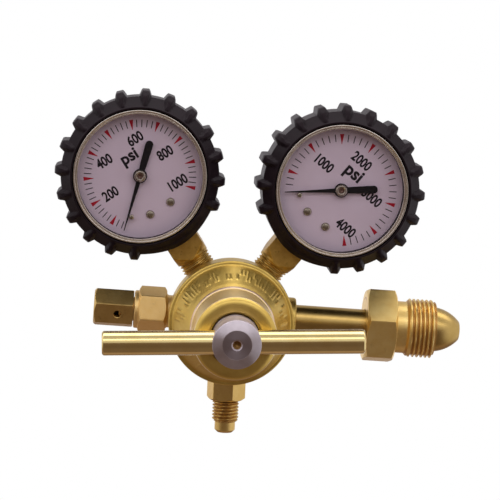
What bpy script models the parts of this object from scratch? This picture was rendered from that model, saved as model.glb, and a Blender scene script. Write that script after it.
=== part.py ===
"""Single-stage nitrogen regulator with a tee-bar screw and two dial gauges.

Units are metres. The origin is the centre of the flat rear face of the valve body.
+X runs along the inlet nipple, -Y faces the person turning the tee bar and +Z is up.
Stations on the regulator's own axis are measured forward from the rear face, and
stations on a port are measured outward from that axis.
"""

import math

import bmesh
import bpy
from mathutils import Matrix

# Clearances
GAP = 0.0003             # between faces that touch on the real object
BORE_ALLOWANCE = 0.0003  # radial room of a shank in its bore

# Valve body and its five ports; the inlet and the outlet have bosses
PORT_STATION = 0.0160
PORT_BOSS_RADIUS = 0.0093
PORT_BORE_RADIUS = 0.0070
PORT_DEPTH = 0.0062
PORT_BOSS_FACE = 0.0240
INLET_BOSS_RISE = 0.0035
BODY_RADIUS = 0.0225
BODY_EDGE_RADIUS = 0.0022
REAR_BOSS_RADIUS = 0.0140
REAR_WALL = 0.0007
NECK_RADIUS = 0.0213
NECK_LENGTH = 0.0063
NECK_SHOULDER = 0.0009
CHAMBER_RADIUS = 0.0165
CHAMBER_FLOOR_WALL = 0.0012
POCKET_RADIUS = 0.0060
POCKET_FLOOR = 0.0045
DRILLING_RADIUS = 0.0021
BLEED_RADIUS = 0.0015
BLEED_PLACE = 0.0132

# Clock angles of the ports, seen from the tee bar
GAUGE_SPREAD = math.radians(36.0)
INLET_CLOCK = math.radians(90.0)
OUTLET_CLOCK = math.radians(178.0)
RELIEF_CLOCK = math.radians(270.0)

# Diaphragm stack
DIAPHRAGM_THICKNESS = 0.0005
DIAPHRAGM_RADIUS = 0.0206
SLIP_RING_THICKNESS = 0.0010
PLATE_RADIUS = 0.0120
PLATE_THICKNESS = 0.0020
PLATE_PIN_RADIUS = 0.0040
PLATE_PIN_HEIGHT = 0.0028

# Bonnet
RIM_RADIUS = 0.0257
RIM_THICKNESS = 0.0036
RIM_CHAMFER = 0.0012
FLARE_FOOT_RADIUS = 0.0242
FLARE_HEIGHT = 0.0145
FLARE_FILLET = 0.0030
BOSS_BASE_RADIUS = 0.0166
BOSS_FRONT_RADIUS = 0.0161
BOSS_LENGTH = 0.0260
BOSS_SHOULDER = 0.0021
SPRING_ROOM_RADIUS = 0.0133
MOUTH_RADIUS = 0.0107
MOUTH_DEPTH = 0.0035
BONNET_THREAD_LENGTH = 0.0095

# Adjusting screw, tee bar and spring
SCREW_RADIUS = 0.009525
SCREW_PITCH = 0.0015875
SCREW_TURNS_OUT = 5.0
SCREW_REACH = 0.0145
SCREW_CHAMFER = 0.0013
SCREW_FLAT_RADIUS = 0.0058
CENTRE_DRILL_RADIUS = 0.0021
CENTRE_DRILL_DEPTH = 0.0016
SCREW_NOSE_RADIUS = 0.0028
SCREW_NOSE_LENGTH = 0.0012
BAR_RADIUS = 0.0047625
BAR_LENGTH = 0.1016
BAR_SETBACK = 0.0076
BAR_OFFSET = -0.0010
BAR_CHAMFER = 0.0005
BAR_REST_TURN = math.radians(4.3)
BUTTON_RADIUS = 0.0122
BUTTON_THICKNESS = 0.0030
SPRING_WIRE = 0.0024
SPRING_TURNS = 4

# Seat nozzle, poppet and its spring
NOZZLE_DEPTH = 0.0030
NOZZLE_FLANGE_RADIUS = 0.0085
NOZZLE_FLANGE = 0.0022
ORIFICE_RADIUS = 0.0014
STEM_RADIUS = 0.0009
POPPET_RADIUS = 0.0042
POPPET_HEAD = 0.0026
POPPET_TAIL_RADIUS = 0.0016
POPPET_TAIL = 0.0040
POPPET_WIRE = 0.0008
POPPET_SPRING_RADIUS = 0.0034
POPPET_TURNS = 4

# Inlet nipple and nut
TUBE_RADIUS = 0.00635
TUBE_BORE_RADIUS = 0.0026
NOSE_RADIUS = 0.00925
NOSE_SHOULDER = 0.0790
NOSE_CURVE_START = 0.0870
NOSE_FLANK_RADIUS = 0.0160
NOSE_END = 0.0969
NOSE_FACE_RADIUS = 0.0034
NOSE_EDGE_RADIUS = 0.0009
FILTER_RADIUS = 0.0024
FILTER_LENGTH = 0.0034
FILTER_SETBACK = 0.0008
NUT_START = 0.0568
NUT_ACROSS_FLATS = 0.028575
NUT_HEX_LENGTH = 0.0126
NUT_CHAMFER = 0.0015
NUT_NECK_RADIUS = 0.01085
NUT_NECK_LENGTH = 0.0057
NUT_THREAD_RADIUS = 0.01225
NUT_THREAD_LENGTH = 0.0112
NUT_THREAD_CHAMFER = 0.0011
NUT_TURN = math.radians(15.3)

# Outlet fitting
OUTLET_ACROSS_FLATS = 0.0143
OUTLET_HEX_END = 0.0356
OUTLET_TURN = math.radians(13.5)
FLARE_THREAD_RADIUS = 0.00555
FLARE_THREAD_LENGTH = 0.0086
FLARE_NECK_RADIUS = 0.0043
FLARE_NECK_LENGTH = 0.0020
FLARE_TIP_RADIUS = 0.0032
OUTLET_TIP = 0.0495
OUTLET_BORE_RADIUS = 0.0023

# Relief valve
RELIEF_NECK = 0.0025
RELIEF_ACROSS_FLATS = 0.0174625
RELIEF_HEX_LENGTH = 0.0116
RELIEF_CHAMFER = 0.0012
RELIEF_TURN = math.radians(12.7)
RELIEF_SPIGOT_RADIUS = 0.0050
RELIEF_SPIGOT_LENGTH = 0.0062
RELIEF_COLLAR_RADIUS = 0.0079
RELIEF_COLLAR_LENGTH = 0.0018
RELIEF_BORE_RADIUS = 0.0016
RELIEF_SEAT_DEPTH = 0.0024
RELIEF_CAP_ACROSS_FLATS = 0.0143
RELIEF_CAP_LENGTH = 0.0164
RELIEF_CAP_ROUND = 0.0016
RELIEF_CAP_WALL = 0.0026
RELIEF_CAP_TURN = math.radians(-13.8)
RELIEF_VENT_RADIUS = 0.0015
RELIEF_VENT_PLACE = 0.0065
RELIEF_POPPET_RADIUS = 0.0033
RELIEF_POPPET_LENGTH = 0.0036
RELIEF_LIFT = 0.0015
RELIEF_WIRE = 0.0007
RELIEF_SPRING_RADIUS = 0.0025
RELIEF_SPRING_TURNS = 4

# Gauge case, bezel, lens and dial (stations forward from the stem's axis)
GAUGE_REACH = 0.0703
CASE_RADIUS = 0.0263
CASE_WALL = 0.0007
CASE_BACK = -0.0093
CASE_FRONT = 0.0156
CASE_BACK_ROUND = 0.0012
LENS_THICKNESS = 0.0015
BEZEL_WALL = 0.0008
BEZEL_RADIUS = CASE_RADIUS + BORE_ALLOWANCE + BEZEL_WALL
BEZEL_OVERLAP = 0.0008
BEZEL_OPENING = CASE_RADIUS - BEZEL_OVERLAP
BEZEL_LIP = 0.0008
BEZEL_SKIRT = 0.0050
DIAL_FACE = 0.0129
DIAL_THICKNESS = 0.0005
DIAL_CLEARANCE = 0.0004
DIAL_RADIUS = CASE_RADIUS - CASE_WALL - DIAL_CLEARANCE
DIAL_HOLE_RADIUS = 0.0012
DIAL_SCREW_PLACE = 0.0164
DIAL_SCREW_SPREAD = math.radians(17.3)
DIAL_SCREW_RADIUS = 0.0014
DIAL_SCREW_HEIGHT = 0.0008
DIAL_SCREW_CROWN_RADIUS = 0.00084
DIAL_SCREW_CROWN_HEIGHT = 0.00068
DIAL_SHANK_RADIUS = 0.0007
STOP_PIN_PLACE = 0.0172
STOP_PIN_CLOCK = math.radians(-136.4)
STOP_PIN_RADIUS = 0.0006
STOP_PIN_HEIGHT = 0.0021

# Gauge socket
SOCKET_ACROSS_FLATS = 0.0141
SOCKET_TAPER_START = 0.0264
SOCKET_TAPER_RADIUS = 0.0064
SOCKET_SHOULDER = 0.0302
SOCKET_SHOULDER_RISE = 0.0034
SOCKET_THREAD_RADIUS = 0.0067
HOLDER_HALF_WIDTH = 0.0065
HOLDER_TOP = -0.0138
HOLDER_INSET = 0.0020
HOLDER_BOTTOM = HOLDER_INSET - CASE_RADIUS
HOLDER_BACK = -0.0045
SOCKET_BORE_RADIUS = 0.0018

# Gauge boot
BOOT_WALL = 0.0047
BOOT_RADIUS = BEZEL_RADIUS + BORE_ALLOWANCE + BOOT_WALL
BOOT_TOOTH_HEIGHT = 0.0025
BOOT_TOOTH_RADIUS = BOOT_RADIUS + BOOT_TOOTH_HEIGHT
BOOT_TOOTH_PLACES = 20
BOOT_MISSING_TEETH = 3
BOOT_TOOTH_TIP = 0.0028
BOOT_TOOTH_BASE = 0.0047
BOOT_FRONT = 0.0193
BOOT_LIP = 0.0010
BOOT_LIP_RADIUS = BEZEL_RADIUS + BORE_ALLOWANCE + BOOT_LIP
BOOT_SHOULDER = 0.0128
BOOT_BACK = -0.0107
BOOT_BACK_CHAMFER = 0.0035
BOOT_BACK_GRIP = 0.0043
BOOT_BACK_OPENING = CASE_RADIUS - BOOT_BACK_GRIP
BOOT_BACK_LIP = 0.0010
BOOT_BULGE = 0.0007
BOOT_BULGE_HALF_ANGLE = math.radians(30.0)

# Gauge movement
GEAR_MODULE = 0.0004
PINION_TEETH = 8
SECTOR_FULL_TEETH = 48
SECTOR_FIRST_TOOTH = -1
SECTOR_LAST_TOOTH = 7
TOOTH_TIP_THICKNESS = 0.00022
TOOTH_ROOT_THICKNESS = 0.00050
TOOTH_ADDENDUM = 0.00030
TOOTH_DEDENDUM = 0.00050
GEAR_THICKNESS = 0.0008
GEAR_STATION = 0.0068
PINION_LENGTH = 0.0022
ARBOR_RADIUS = 0.0006
MOVEMENT_PLATE = 0.0008
REAR_PLATE_STATION = 0.0034
FRONT_PLATE_STATION = 0.0094
PLATE_LEFT = -0.0080
PLATE_RIGHT = 0.0138
PLATE_TOP = 0.0085
PLATE_BOTTOM = -0.0085
PLATE_CORNER = 0.0030
PLATE_FOOT_HALF_WIDTH = 0.0045
PILLAR_RADIUS = 0.0012
PILLARS = ((-0.0053, 0.0058), (-0.0053, -0.0058), (0.0113, 0.0058))
SECTOR_HUB_RADIUS = 0.0017
SECTOR_TAIL = 0.0050
SECTOR_TAIL_CLOCK = math.radians(168.0)
SECTOR_TAIL_HALF_WIDTH = 0.0012
SECTOR_TAIL_END_RADIUS = 0.00144
LINK_PIN_RADIUS = 0.00045
LINK_HALF_WIDTH = 0.0010
LINK_THICKNESS = 0.0006
BOURDON_INSET = 0.0088
BOURDON_RADIUS = CASE_RADIUS - BOURDON_INSET
BOURDON_SECTION = 0.0015
BOURDON_HEIGHT = 0.0060
BOURDON_STATION = -0.0006
BOURDON_TIP_CLOCK = math.radians(475.0)
POINTER_REST_CLOCK = math.radians(-131.7)
POINTER_TIP = 0.0225
POINTER_TAIL = 0.0140
POINTER_TIP_HALF_WIDTH = 0.00018
POINTER_ROOT_HALF_WIDTH = 0.00085
POINTER_TAIL_HALF_WIDTH = 0.00135
POINTER_THICKNESS = 0.0004
POINTER_STATION = 0.0140
POINTER_HUB_RADIUS = 0.0029
POINTER_HUB_HEIGHT = 0.0012
POINTER_SHOULDER = 0.0046

# Facets and mesh settings
LARGE_ROUND = 36
MEDIUM_ROUND = 24
SMALL_ROUND = 16
TINY_ROUND = 8
BOSS_ROUND = 18
BOSS_FACET_TURN = math.radians(7.0)
NOSE_STEPS = 5
COIL_POINTS = 9
LARGE_COIL_POINTS = 12
BOURDON_POINTS = 20
TAIL_STEPS = 6
BULGE_STEPS = 10
MERGE_DISTANCE = 0.000005
SHARP_ANGLE = math.radians(35.0)
BAR_CORNER_ALLOWANCE = 1.04
COIL_END_TURNS = 0.75
COIL_END_RISE = 1.05

# Finishes as colour, roughness and metallic
FORGED_BRASS = ("forged_brass", (0.52, 0.36, 0.09), 0.34, 1.0)
TURNED_BRASS = ("turned_brass", (0.66, 0.47, 0.14), 0.22, 1.0)
DARK_BRASS = ("dark_brass", (0.30, 0.17, 0.05), 0.42, 1.0)
PALE_BRASS = ("pale_brass", (0.70, 0.48, 0.24), 0.30, 1.0)
TURNED_STEEL = ("turned_steel", (0.42, 0.39, 0.41), 0.30, 1.0)
SPRING_STEEL = ("spring_steel", (0.35, 0.34, 0.33), 0.35, 1.0)
CASE_STEEL = ("case_steel", (0.10, 0.10, 0.10), 0.40, 0.6)
BEZEL_STEEL = ("bezel_steel", (0.36, 0.32, 0.28), 0.28, 1.0)
BLACK_RUBBER = ("black_rubber", (0.022, 0.020, 0.021), 0.62, 0.0)
DIAL_WHITE = ("dial_white", (0.55, 0.50, 0.56), 0.55, 0.0)
POINTER_BLACK = ("pointer_black", (0.012, 0.012, 0.012), 0.45, 0.0)
CLEAR_LENS = ("clear_lens", (0.90, 0.92, 0.93), 0.05, 0.0)
DIAPHRAGM_RUBBER = ("diaphragm_rubber", (0.05, 0.04, 0.035), 0.70, 0.0)
SEAT_PLASTIC = ("seat_plastic", (0.70, 0.68, 0.62), 0.50, 0.0)
SINTERED_BRONZE = ("sintered_bronze", (0.36, 0.22, 0.09), 0.75, 1.0)

# Stations on the regulator's axis that follow from the sizes above
REAR_SHOULDER = PORT_STATION - PORT_BOSS_RADIUS - REAR_WALL
NECK_ROOT = PORT_STATION + PORT_BOSS_RADIUS + NECK_SHOULDER
CHAMBER_FLOOR = PORT_STATION + PORT_BORE_RADIUS + CHAMBER_FLOOR_WALL
NECK_FACE = NECK_ROOT + NECK_LENGTH
DIAPHRAGM_STATION = NECK_FACE + GAP
SLIP_RING_STATION = DIAPHRAGM_STATION + DIAPHRAGM_THICKNESS + GAP
BONNET_SHOULDER = SLIP_RING_STATION + SLIP_RING_THICKNESS + GAP
RIM_FRONT = BONNET_SHOULDER + RIM_THICKNESS
BOSS_BASE = RIM_FRONT + FLARE_HEIGHT
MOUTH_STATION = BOSS_BASE + BOSS_LENGTH
SPRING_CEILING = MOUTH_STATION - MOUTH_DEPTH - BONNET_THREAD_LENGTH
BUTTON_TOP = SPRING_CEILING - GAP - SCREW_TURNS_OUT * SCREW_PITCH
BUTTON_BOTTOM = BUTTON_TOP - BUTTON_THICKNESS
SCREW_END = BUTTON_TOP + GAP
SCREW_TIP = MOUTH_STATION + SCREW_REACH
BAR_STATION = SCREW_TIP - BAR_SETBACK
PLATE_STATION = DIAPHRAGM_STATION + DIAPHRAGM_THICKNESS + GAP
NOZZLE_SEAT = CHAMBER_FLOOR - NOZZLE_DEPTH
PORT_FLOOR = PORT_BOSS_FACE - PORT_DEPTH
SHANK_END = PORT_FLOOR + GAP
NECK_SHANK_RADIUS = PORT_BORE_RADIUS - BORE_ALLOWANCE
INLET_BOSS_FACE = PORT_BOSS_FACE + INLET_BOSS_RISE

# Rotation that turns a piece modelled facing +Z to face -Y, keeping +X to the right;
# on its own it is the frame of everything turned about the regulator's axis
FACE_FORWARD = Matrix.Rotation(math.radians(90.0), 4, "X")
AXIS_FRAME = FACE_FORWARD


def clear_scene():
    """Empty the scene and give it one collection for parts and one for cutters."""
    for old in list(bpy.data.objects):
        bpy.data.objects.remove(old, do_unlink=True)
    parts = bpy.data.collections.new("nitrogen_regulator")
    cutters = bpy.data.collections.new("cutters")
    for collection in (parts, cutters):
        bpy.context.scene.collection.children.link(collection)
    return parts, cutters


PARTS, CUTTERS = clear_scene()


def finish_material(finish):
    """Return the Principled material of a finish, made the first time it is asked for."""
    name, colour, roughness, metallic = finish
    material = bpy.data.materials.get(name)
    if material is None:
        material = bpy.data.materials.new(name)
        material.use_nodes = True
        shader = material.node_tree.nodes["Principled BSDF"]
        shader.inputs["Base Color"].default_value = (*colour, 1.0)
        shader.inputs["Roughness"].default_value = roughness
        shader.inputs["Metallic"].default_value = metallic
    return material


def port_frame(clock, station=0.0):
    """Frame of a port: +Z runs outward from the regulator's axis at a clock angle."""
    turn = Matrix.Rotation(clock, 4, "Y")
    return Matrix.Translation((0.0, -PORT_STATION, 0.0)) @ turn @ Matrix.Translation((0.0, 0.0, station))


def gauge_frame(clock):
    """Frame of a gauge: +Z faces the reader, +Y points away from the stem."""
    return port_frame(clock, GAUGE_REACH) @ FACE_FORWARD


def place(name, mesh, frame, finish):
    """Put a mesh in the scene as a finished part, or as a cutter where no finish is given."""
    piece = bpy.data.objects.new(name, mesh)
    piece.matrix_world = frame
    if finish is None:
        CUTTERS.objects.link(piece)
        piece.hide_render = True
        piece.display_type = "WIRE"
    else:
        PARTS.objects.link(piece)
        piece.data.materials.append(finish_material(finish))
    return piece


def freeze(piece):
    """Replace a mesh and its modifiers, or a curve, by the closed mesh they make."""
    bpy.context.view_layer.update()
    evaluated = piece.evaluated_get(bpy.context.evaluated_depsgraph_get())
    mesh = bpy.data.meshes.new_from_object(evaluated)
    solid = bmesh.new()
    solid.from_mesh(mesh)
    bmesh.ops.remove_doubles(solid, verts=solid.verts, dist=MERGE_DISTANCE)
    bmesh.ops.recalc_face_normals(solid, faces=solid.faces)
    solid.to_mesh(mesh)
    solid.free()
    mesh.shade_smooth()
    mesh.set_sharp_from_angle(angle=SHARP_ANGLE)
    return mesh


def turned(name, outline, frame, finish=None, facets=MEDIUM_ROUND):
    """Turn an outline of (radius, station) points about the frame's Z axis.

    The outline runs down the outer side. It is a closed ring unless it starts on the axis.
    """
    points = [(radius, 0.0, station) for radius, station in outline]
    edges = [(index, index + 1) for index in range(len(points) - 1)]
    if outline[0][0] > 0.0:
        edges.append((len(points) - 1, 0))
    mesh = bpy.data.meshes.new(name)
    mesh.from_pydata(points, edges, [])
    piece = place(name, mesh, frame, finish)
    lathe = piece.modifiers.new("lathe", "SCREW")
    lathe.angle = math.radians(360.0)
    lathe.steps = facets
    lathe.render_steps = facets
    lathe.use_merge_vertices = True
    lathe.merge_threshold = MERGE_DISTANCE
    piece.data = freeze(piece)
    piece.modifiers.clear()
    return piece


def bar_stock(name, sides, across_flats, bottom, top, frame, turn=0.0):
    """Cutter of square or hexagon bar stock along the frame's Z axis."""
    corner = across_flats / 2.0 / math.cos(math.pi / sides)
    solid = bmesh.new()
    to_middle = Matrix.Translation((0.0, 0.0, (bottom + top) / 2.0))
    # A cone starts with a corner on its Y axis, so this angle puts a flat there instead
    flat_forward = Matrix.Rotation(turn + math.pi / sides, 4, "Z")
    bmesh.ops.create_cone(solid, cap_ends=True, segments=sides, radius1=corner, radius2=corner,
                          depth=top - bottom, matrix=to_middle @ flat_forward)
    mesh = bpy.data.meshes.new(name)
    solid.to_mesh(mesh)
    solid.free()
    return place(name, mesh, frame, None)


def block(name, low, high, frame, finish=None):
    """Box between two corners given in the frame."""
    solid = bmesh.new()
    middle = [(low[axis] + high[axis]) / 2.0 for axis in range(3)]
    size = [high[axis] - low[axis] for axis in range(3)]
    bmesh.ops.create_cube(solid, size=1.0, matrix=Matrix.Translation(middle) @ Matrix.Diagonal((*size, 1.0)))
    mesh = bpy.data.meshes.new(name)
    solid.to_mesh(mesh)
    solid.free()
    return place(name, mesh, frame, finish)


def flat(name, outlines, bottom, thickness, frame, finish=None):
    """Plate of flat outlines in the frame's XY plane; outlines after the first are holes."""
    curve = bpy.data.curves.new(name + "_outline", "CURVE")
    curve.dimensions = "2D"
    curve.fill_mode = "BOTH"
    curve.extrude = thickness / 2.0
    for outline in outlines:
        spline = curve.splines.new("POLY")
        spline.points.add(len(outline) - 1)
        for point, (across, up) in zip(spline.points, outline):
            point.co = (across, up, 0.0, 1.0)
        spline.use_cyclic_u = True
    drawn = bpy.data.objects.new(name + "_outline", curve)
    PARTS.objects.link(drawn)
    mesh = freeze(drawn)
    bpy.data.objects.remove(drawn, do_unlink=True)
    mesh.transform(Matrix.Translation((0.0, 0.0, bottom + thickness / 2.0)))
    return place(name, mesh, frame, finish)


def wire(name, points, radius, frame, finish):
    """Round wire through the points, as a closed mesh."""
    curve = bpy.data.curves.new(name + "_path", "CURVE")
    curve.dimensions = "3D"
    curve.bevel_depth = radius
    curve.bevel_resolution = 2
    curve.use_fill_caps = True
    spline = curve.splines.new("POLY")
    spline.points.add(len(points) - 1)
    for point, place_on_path in zip(spline.points, points):
        point.co = (*place_on_path, 1.0)
    drawn = bpy.data.objects.new(name + "_path", curve)
    PARTS.objects.link(drawn)
    mesh = freeze(drawn)
    bpy.data.objects.remove(drawn, do_unlink=True)
    return place(name, mesh, frame, finish)


def combine(piece, tool, operation):
    """Cut, join or intersect a piece with a cutter."""
    step = piece.modifiers.new(tool.name, "BOOLEAN")
    step.operation = operation
    step.solver = "EXACT"
    step.object = tool


def milled(name, outline, frame, sides, across_flats, finish, turn=0.0, facets=MEDIUM_ROUND):
    """Fitting turned from square or hexagon bar: the turned outline kept inside the bar."""
    piece = turned(name, outline, frame, finish, facets)
    stations = [station for radius, station in outline]
    margin = across_flats
    bar = bar_stock(name + "_bar", sides, across_flats, min(stations) - margin, max(stations) + margin,
                    frame, turn)
    combine(piece, bar, "INTERSECT")
    return piece


def drill(piece, name, radius, bottom, top, frame, facets=SMALL_ROUND):
    """Drill a straight hole through a piece between two stations of the frame."""
    bit = turned(name, [(0.0, top), (radius, top), (radius, bottom), (0.0, bottom)], frame, None, facets)
    combine(piece, bit, "DIFFERENCE")


def bar_corner(sides, across_flats):
    """Radius that clears the corners of square or hexagon bar stock."""
    return across_flats / 2.0 / math.cos(math.pi / sides) * BAR_CORNER_ALLOWANCE


def arc(centre, radius, start, end, steps):
    """Points on an arc of (x, y) between two plain angles."""
    points = []
    for index in range(steps + 1):
        angle = start + (end - start) * index / steps
        points.append((centre[0] + radius * math.cos(angle), centre[1] + radius * math.sin(angle)))
    return points


def clock_point(radius, clock, centre=(0.0, 0.0)):
    """Point at a clock angle, measured clockwise from straight up."""
    return (centre[0] + radius * math.sin(clock), centre[1] + radius * math.cos(clock))


def coil(name, radius, wire_diameter, bottom, top, turns, frame, finish, points=COIL_POINTS):
    """Compression spring standing between two stations, its ends wound flat."""
    low = bottom + wire_diameter / 2.0
    high = top - wire_diameter / 2.0
    # The closed ends climb just over one wire a turn, so that neighbouring turns don't touch
    end_pitch = wire_diameter * COIL_END_RISE
    open_turns = turns - 2.0 * COIL_END_TURNS
    open_rise = high - low - 2.0 * COIL_END_TURNS * end_pitch
    path = []
    for index in range(turns * points + 1):
        turn = index / points
        end_share = min(turn, COIL_END_TURNS) + max(turn - turns + COIL_END_TURNS, 0.0)
        open_share = min(max((turn - COIL_END_TURNS) / open_turns, 0.0), 1.0)
        angle = 2.0 * math.pi * turn
        rise = end_pitch * end_share + open_rise * open_share
        path.append((radius * math.cos(angle), radius * math.sin(angle), low + rise))
    return wire(name, path, wire_diameter / 2.0, frame, finish)


def make_valve_body():
    """Forged body: a drum with two port bosses, five ports, the chamber and the valve pocket."""
    outline = [
        (0.0, POCKET_FLOOR),
        (POCKET_RADIUS, POCKET_FLOOR),
        (POCKET_RADIUS, CHAMBER_FLOOR),
        (CHAMBER_RADIUS, CHAMBER_FLOOR),
        (CHAMBER_RADIUS, NECK_FACE),
        (NECK_RADIUS, NECK_FACE),
        (NECK_RADIUS, NECK_ROOT),
        (BODY_RADIUS, NECK_ROOT),
    ]
    corner = (BODY_RADIUS - BODY_EDGE_RADIUS, REAR_SHOULDER + BODY_EDGE_RADIUS)
    outline += arc(corner, BODY_EDGE_RADIUS, 0.0, -math.pi / 2.0, 2)
    fillet = (REAR_BOSS_RADIUS + REAR_SHOULDER / 2.0, REAR_SHOULDER / 2.0)
    outline += arc(fillet, REAR_SHOULDER / 2.0, math.pi / 2.0, math.pi, 2)
    outline += [(REAR_BOSS_RADIUS, 0.0), (0.0, 0.0)]
    body = turned("valve_body", outline, AXIS_FRAME, FORGED_BRASS, LARGE_ROUND)
    bosses = (("inlet", INLET_CLOCK, INLET_BOSS_FACE), ("outlet", OUTLET_CLOCK, PORT_BOSS_FACE))
    root = CHAMBER_RADIUS - BORE_ALLOWANCE
    for name, clock, face in bosses:
        # Turned by part of a facet so that its corners miss those of the bore
        boss_frame = port_frame(clock) @ Matrix.Rotation(BOSS_FACET_TURN, 4, "Z")
        boss = turned(name + "_port_boss", [(0.0, face), (PORT_BOSS_RADIUS, face), (PORT_BOSS_RADIUS, root),
                                            (0.0, root)], boss_frame, None, BOSS_ROUND)
        combine(body, boss, "UNION")
    ports = (
        ("delivery_gauge", -GAUGE_SPREAD),
        ("cylinder_gauge", GAUGE_SPREAD),
        ("inlet", INLET_CLOCK),
        ("outlet", OUTLET_CLOCK),
        ("relief", RELIEF_CLOCK),
    )
    high_pressure = ("inlet", "cylinder_gauge")
    top = INLET_BOSS_FACE + PORT_DEPTH
    for name, clock in ports:
        depth = POCKET_RADIUS / 2.0 if name in high_pressure else BLEED_PLACE - BLEED_RADIUS
        bore = TUBE_RADIUS + BORE_ALLOWANCE if name == "inlet" else PORT_BORE_RADIUS
        steps = [(0.0, top), (bore, top), (bore, PORT_FLOOR), (DRILLING_RADIUS, PORT_FLOOR),
                 (DRILLING_RADIUS, depth), (0.0, depth)]
        bit = turned(name + "_port_bore", steps, port_frame(clock), None, SMALL_ROUND)
        combine(body, bit, "DIFFERENCE")
        if name not in high_pressure:
            across, up = clock_point(BLEED_PLACE, clock)
            bleed_frame = AXIS_FRAME @ Matrix.Translation((across, up, 0.0))
            drill(body, name + "_bleed", BLEED_RADIUS, PORT_STATION, CHAMBER_FLOOR + PORT_DEPTH,
                  bleed_frame, TINY_ROUND)
    return body


def make_bonnet():
    """Forged bonnet: threaded skirt, lettering flare, and the spring case with its mouth."""
    boss_front = MOUTH_STATION - BOSS_SHOULDER
    fillet_centre = (BOSS_BASE_RADIUS + FLARE_FILLET, BOSS_BASE + FLARE_FILLET / 2.0)
    outline = [
        (MOUTH_RADIUS, MOUTH_STATION),
        (BOSS_FRONT_RADIUS - BOSS_SHOULDER, MOUTH_STATION),
    ]
    outline += arc((BOSS_FRONT_RADIUS - BOSS_SHOULDER, boss_front), BOSS_SHOULDER, math.pi / 2.0, 0.0, 4)[1:]
    outline += arc(fillet_centre, FLARE_FILLET, math.pi, math.pi + math.radians(62.0), 4)
    outline += [
        (FLARE_FOOT_RADIUS, RIM_FRONT),
        (RIM_RADIUS - RIM_CHAMFER, RIM_FRONT),
        (RIM_RADIUS, RIM_FRONT - RIM_CHAMFER),
        (RIM_RADIUS, NECK_ROOT + GAP),
        (NECK_RADIUS + BORE_ALLOWANCE, NECK_ROOT + GAP),
        (NECK_RADIUS + BORE_ALLOWANCE, BONNET_SHOULDER),
        (CHAMBER_RADIUS, BONNET_SHOULDER),
        (CHAMBER_RADIUS, RIM_FRONT),
        (SPRING_ROOM_RADIUS, RIM_FRONT + FLARE_FILLET),
        (SPRING_ROOM_RADIUS, SPRING_CEILING),
        (SCREW_RADIUS + BORE_ALLOWANCE, SPRING_CEILING),
        (SCREW_RADIUS + BORE_ALLOWANCE, MOUTH_STATION - MOUTH_DEPTH),
        (MOUTH_RADIUS, MOUTH_STATION - MOUTH_DEPTH),
    ]
    return turned("bonnet", outline, AXIS_FRAME, FORGED_BRASS, LARGE_ROUND)


def make_diaphragm_stack():
    """Diaphragm clamped at its rim, the slip ring on it and the spring plate at its middle."""
    top = DIAPHRAGM_STATION + DIAPHRAGM_THICKNESS
    turned("diaphragm", [(0.0, top), (DIAPHRAGM_RADIUS, top), (DIAPHRAGM_RADIUS, DIAPHRAGM_STATION),
                         (0.0, DIAPHRAGM_STATION)], AXIS_FRAME, DIAPHRAGM_RUBBER, MEDIUM_ROUND)
    ring_top = SLIP_RING_STATION + SLIP_RING_THICKNESS
    turned("slip_ring", [(CHAMBER_RADIUS, ring_top), (DIAPHRAGM_RADIUS, ring_top),
                         (DIAPHRAGM_RADIUS, SLIP_RING_STATION), (CHAMBER_RADIUS, SLIP_RING_STATION)],
           AXIS_FRAME, TURNED_BRASS, MEDIUM_ROUND)
    plate_top = PLATE_STATION + PLATE_THICKNESS
    pin_top = plate_top + PLATE_PIN_HEIGHT
    turned("diaphragm_plate", [(0.0, pin_top), (PLATE_PIN_RADIUS, pin_top), (PLATE_PIN_RADIUS, plate_top),
                               (PLATE_RADIUS, plate_top), (PLATE_RADIUS, PLATE_STATION),
                               (0.0, PLATE_STATION)], AXIS_FRAME, TURNED_BRASS, SMALL_ROUND)


def make_valve():
    """Seat nozzle screwed into the pocket, and the poppet that its spring holds against it."""
    shank = POCKET_RADIUS - BORE_ALLOWANCE
    flange = CHAMBER_FLOOR + GAP
    turned("seat_nozzle", [
        (ORIFICE_RADIUS, flange + NOZZLE_FLANGE),
        (NOZZLE_FLANGE_RADIUS, flange + NOZZLE_FLANGE),
        (NOZZLE_FLANGE_RADIUS, flange),
        (shank, flange),
        (shank, NOZZLE_SEAT),
        (ORIFICE_RADIUS + BORE_ALLOWANCE * 2.0, NOZZLE_SEAT),
        (ORIFICE_RADIUS, NOZZLE_SEAT + BORE_ALLOWANCE),
    ], AXIS_FRAME, TURNED_BRASS, SMALL_ROUND)
    head_top = NOZZLE_SEAT - GAP
    head_bottom = head_top - POPPET_HEAD
    stem_top = DIAPHRAGM_STATION - GAP
    turned("poppet", [
        (0.0, stem_top),
        (STEM_RADIUS, stem_top),
        (STEM_RADIUS, head_top),
        (POPPET_RADIUS, head_top),
        (POPPET_RADIUS, head_bottom),
        (POPPET_TAIL_RADIUS, head_bottom),
        (POPPET_TAIL_RADIUS, head_bottom - POPPET_TAIL),
        (0.0, head_bottom - POPPET_TAIL),
    ], AXIS_FRAME, SEAT_PLASTIC, SMALL_ROUND)
    coil("poppet_spring", POPPET_SPRING_RADIUS, POPPET_WIRE, POCKET_FLOOR + GAP, head_bottom - GAP,
         POPPET_TURNS, AXIS_FRAME, SPRING_STEEL)


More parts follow.
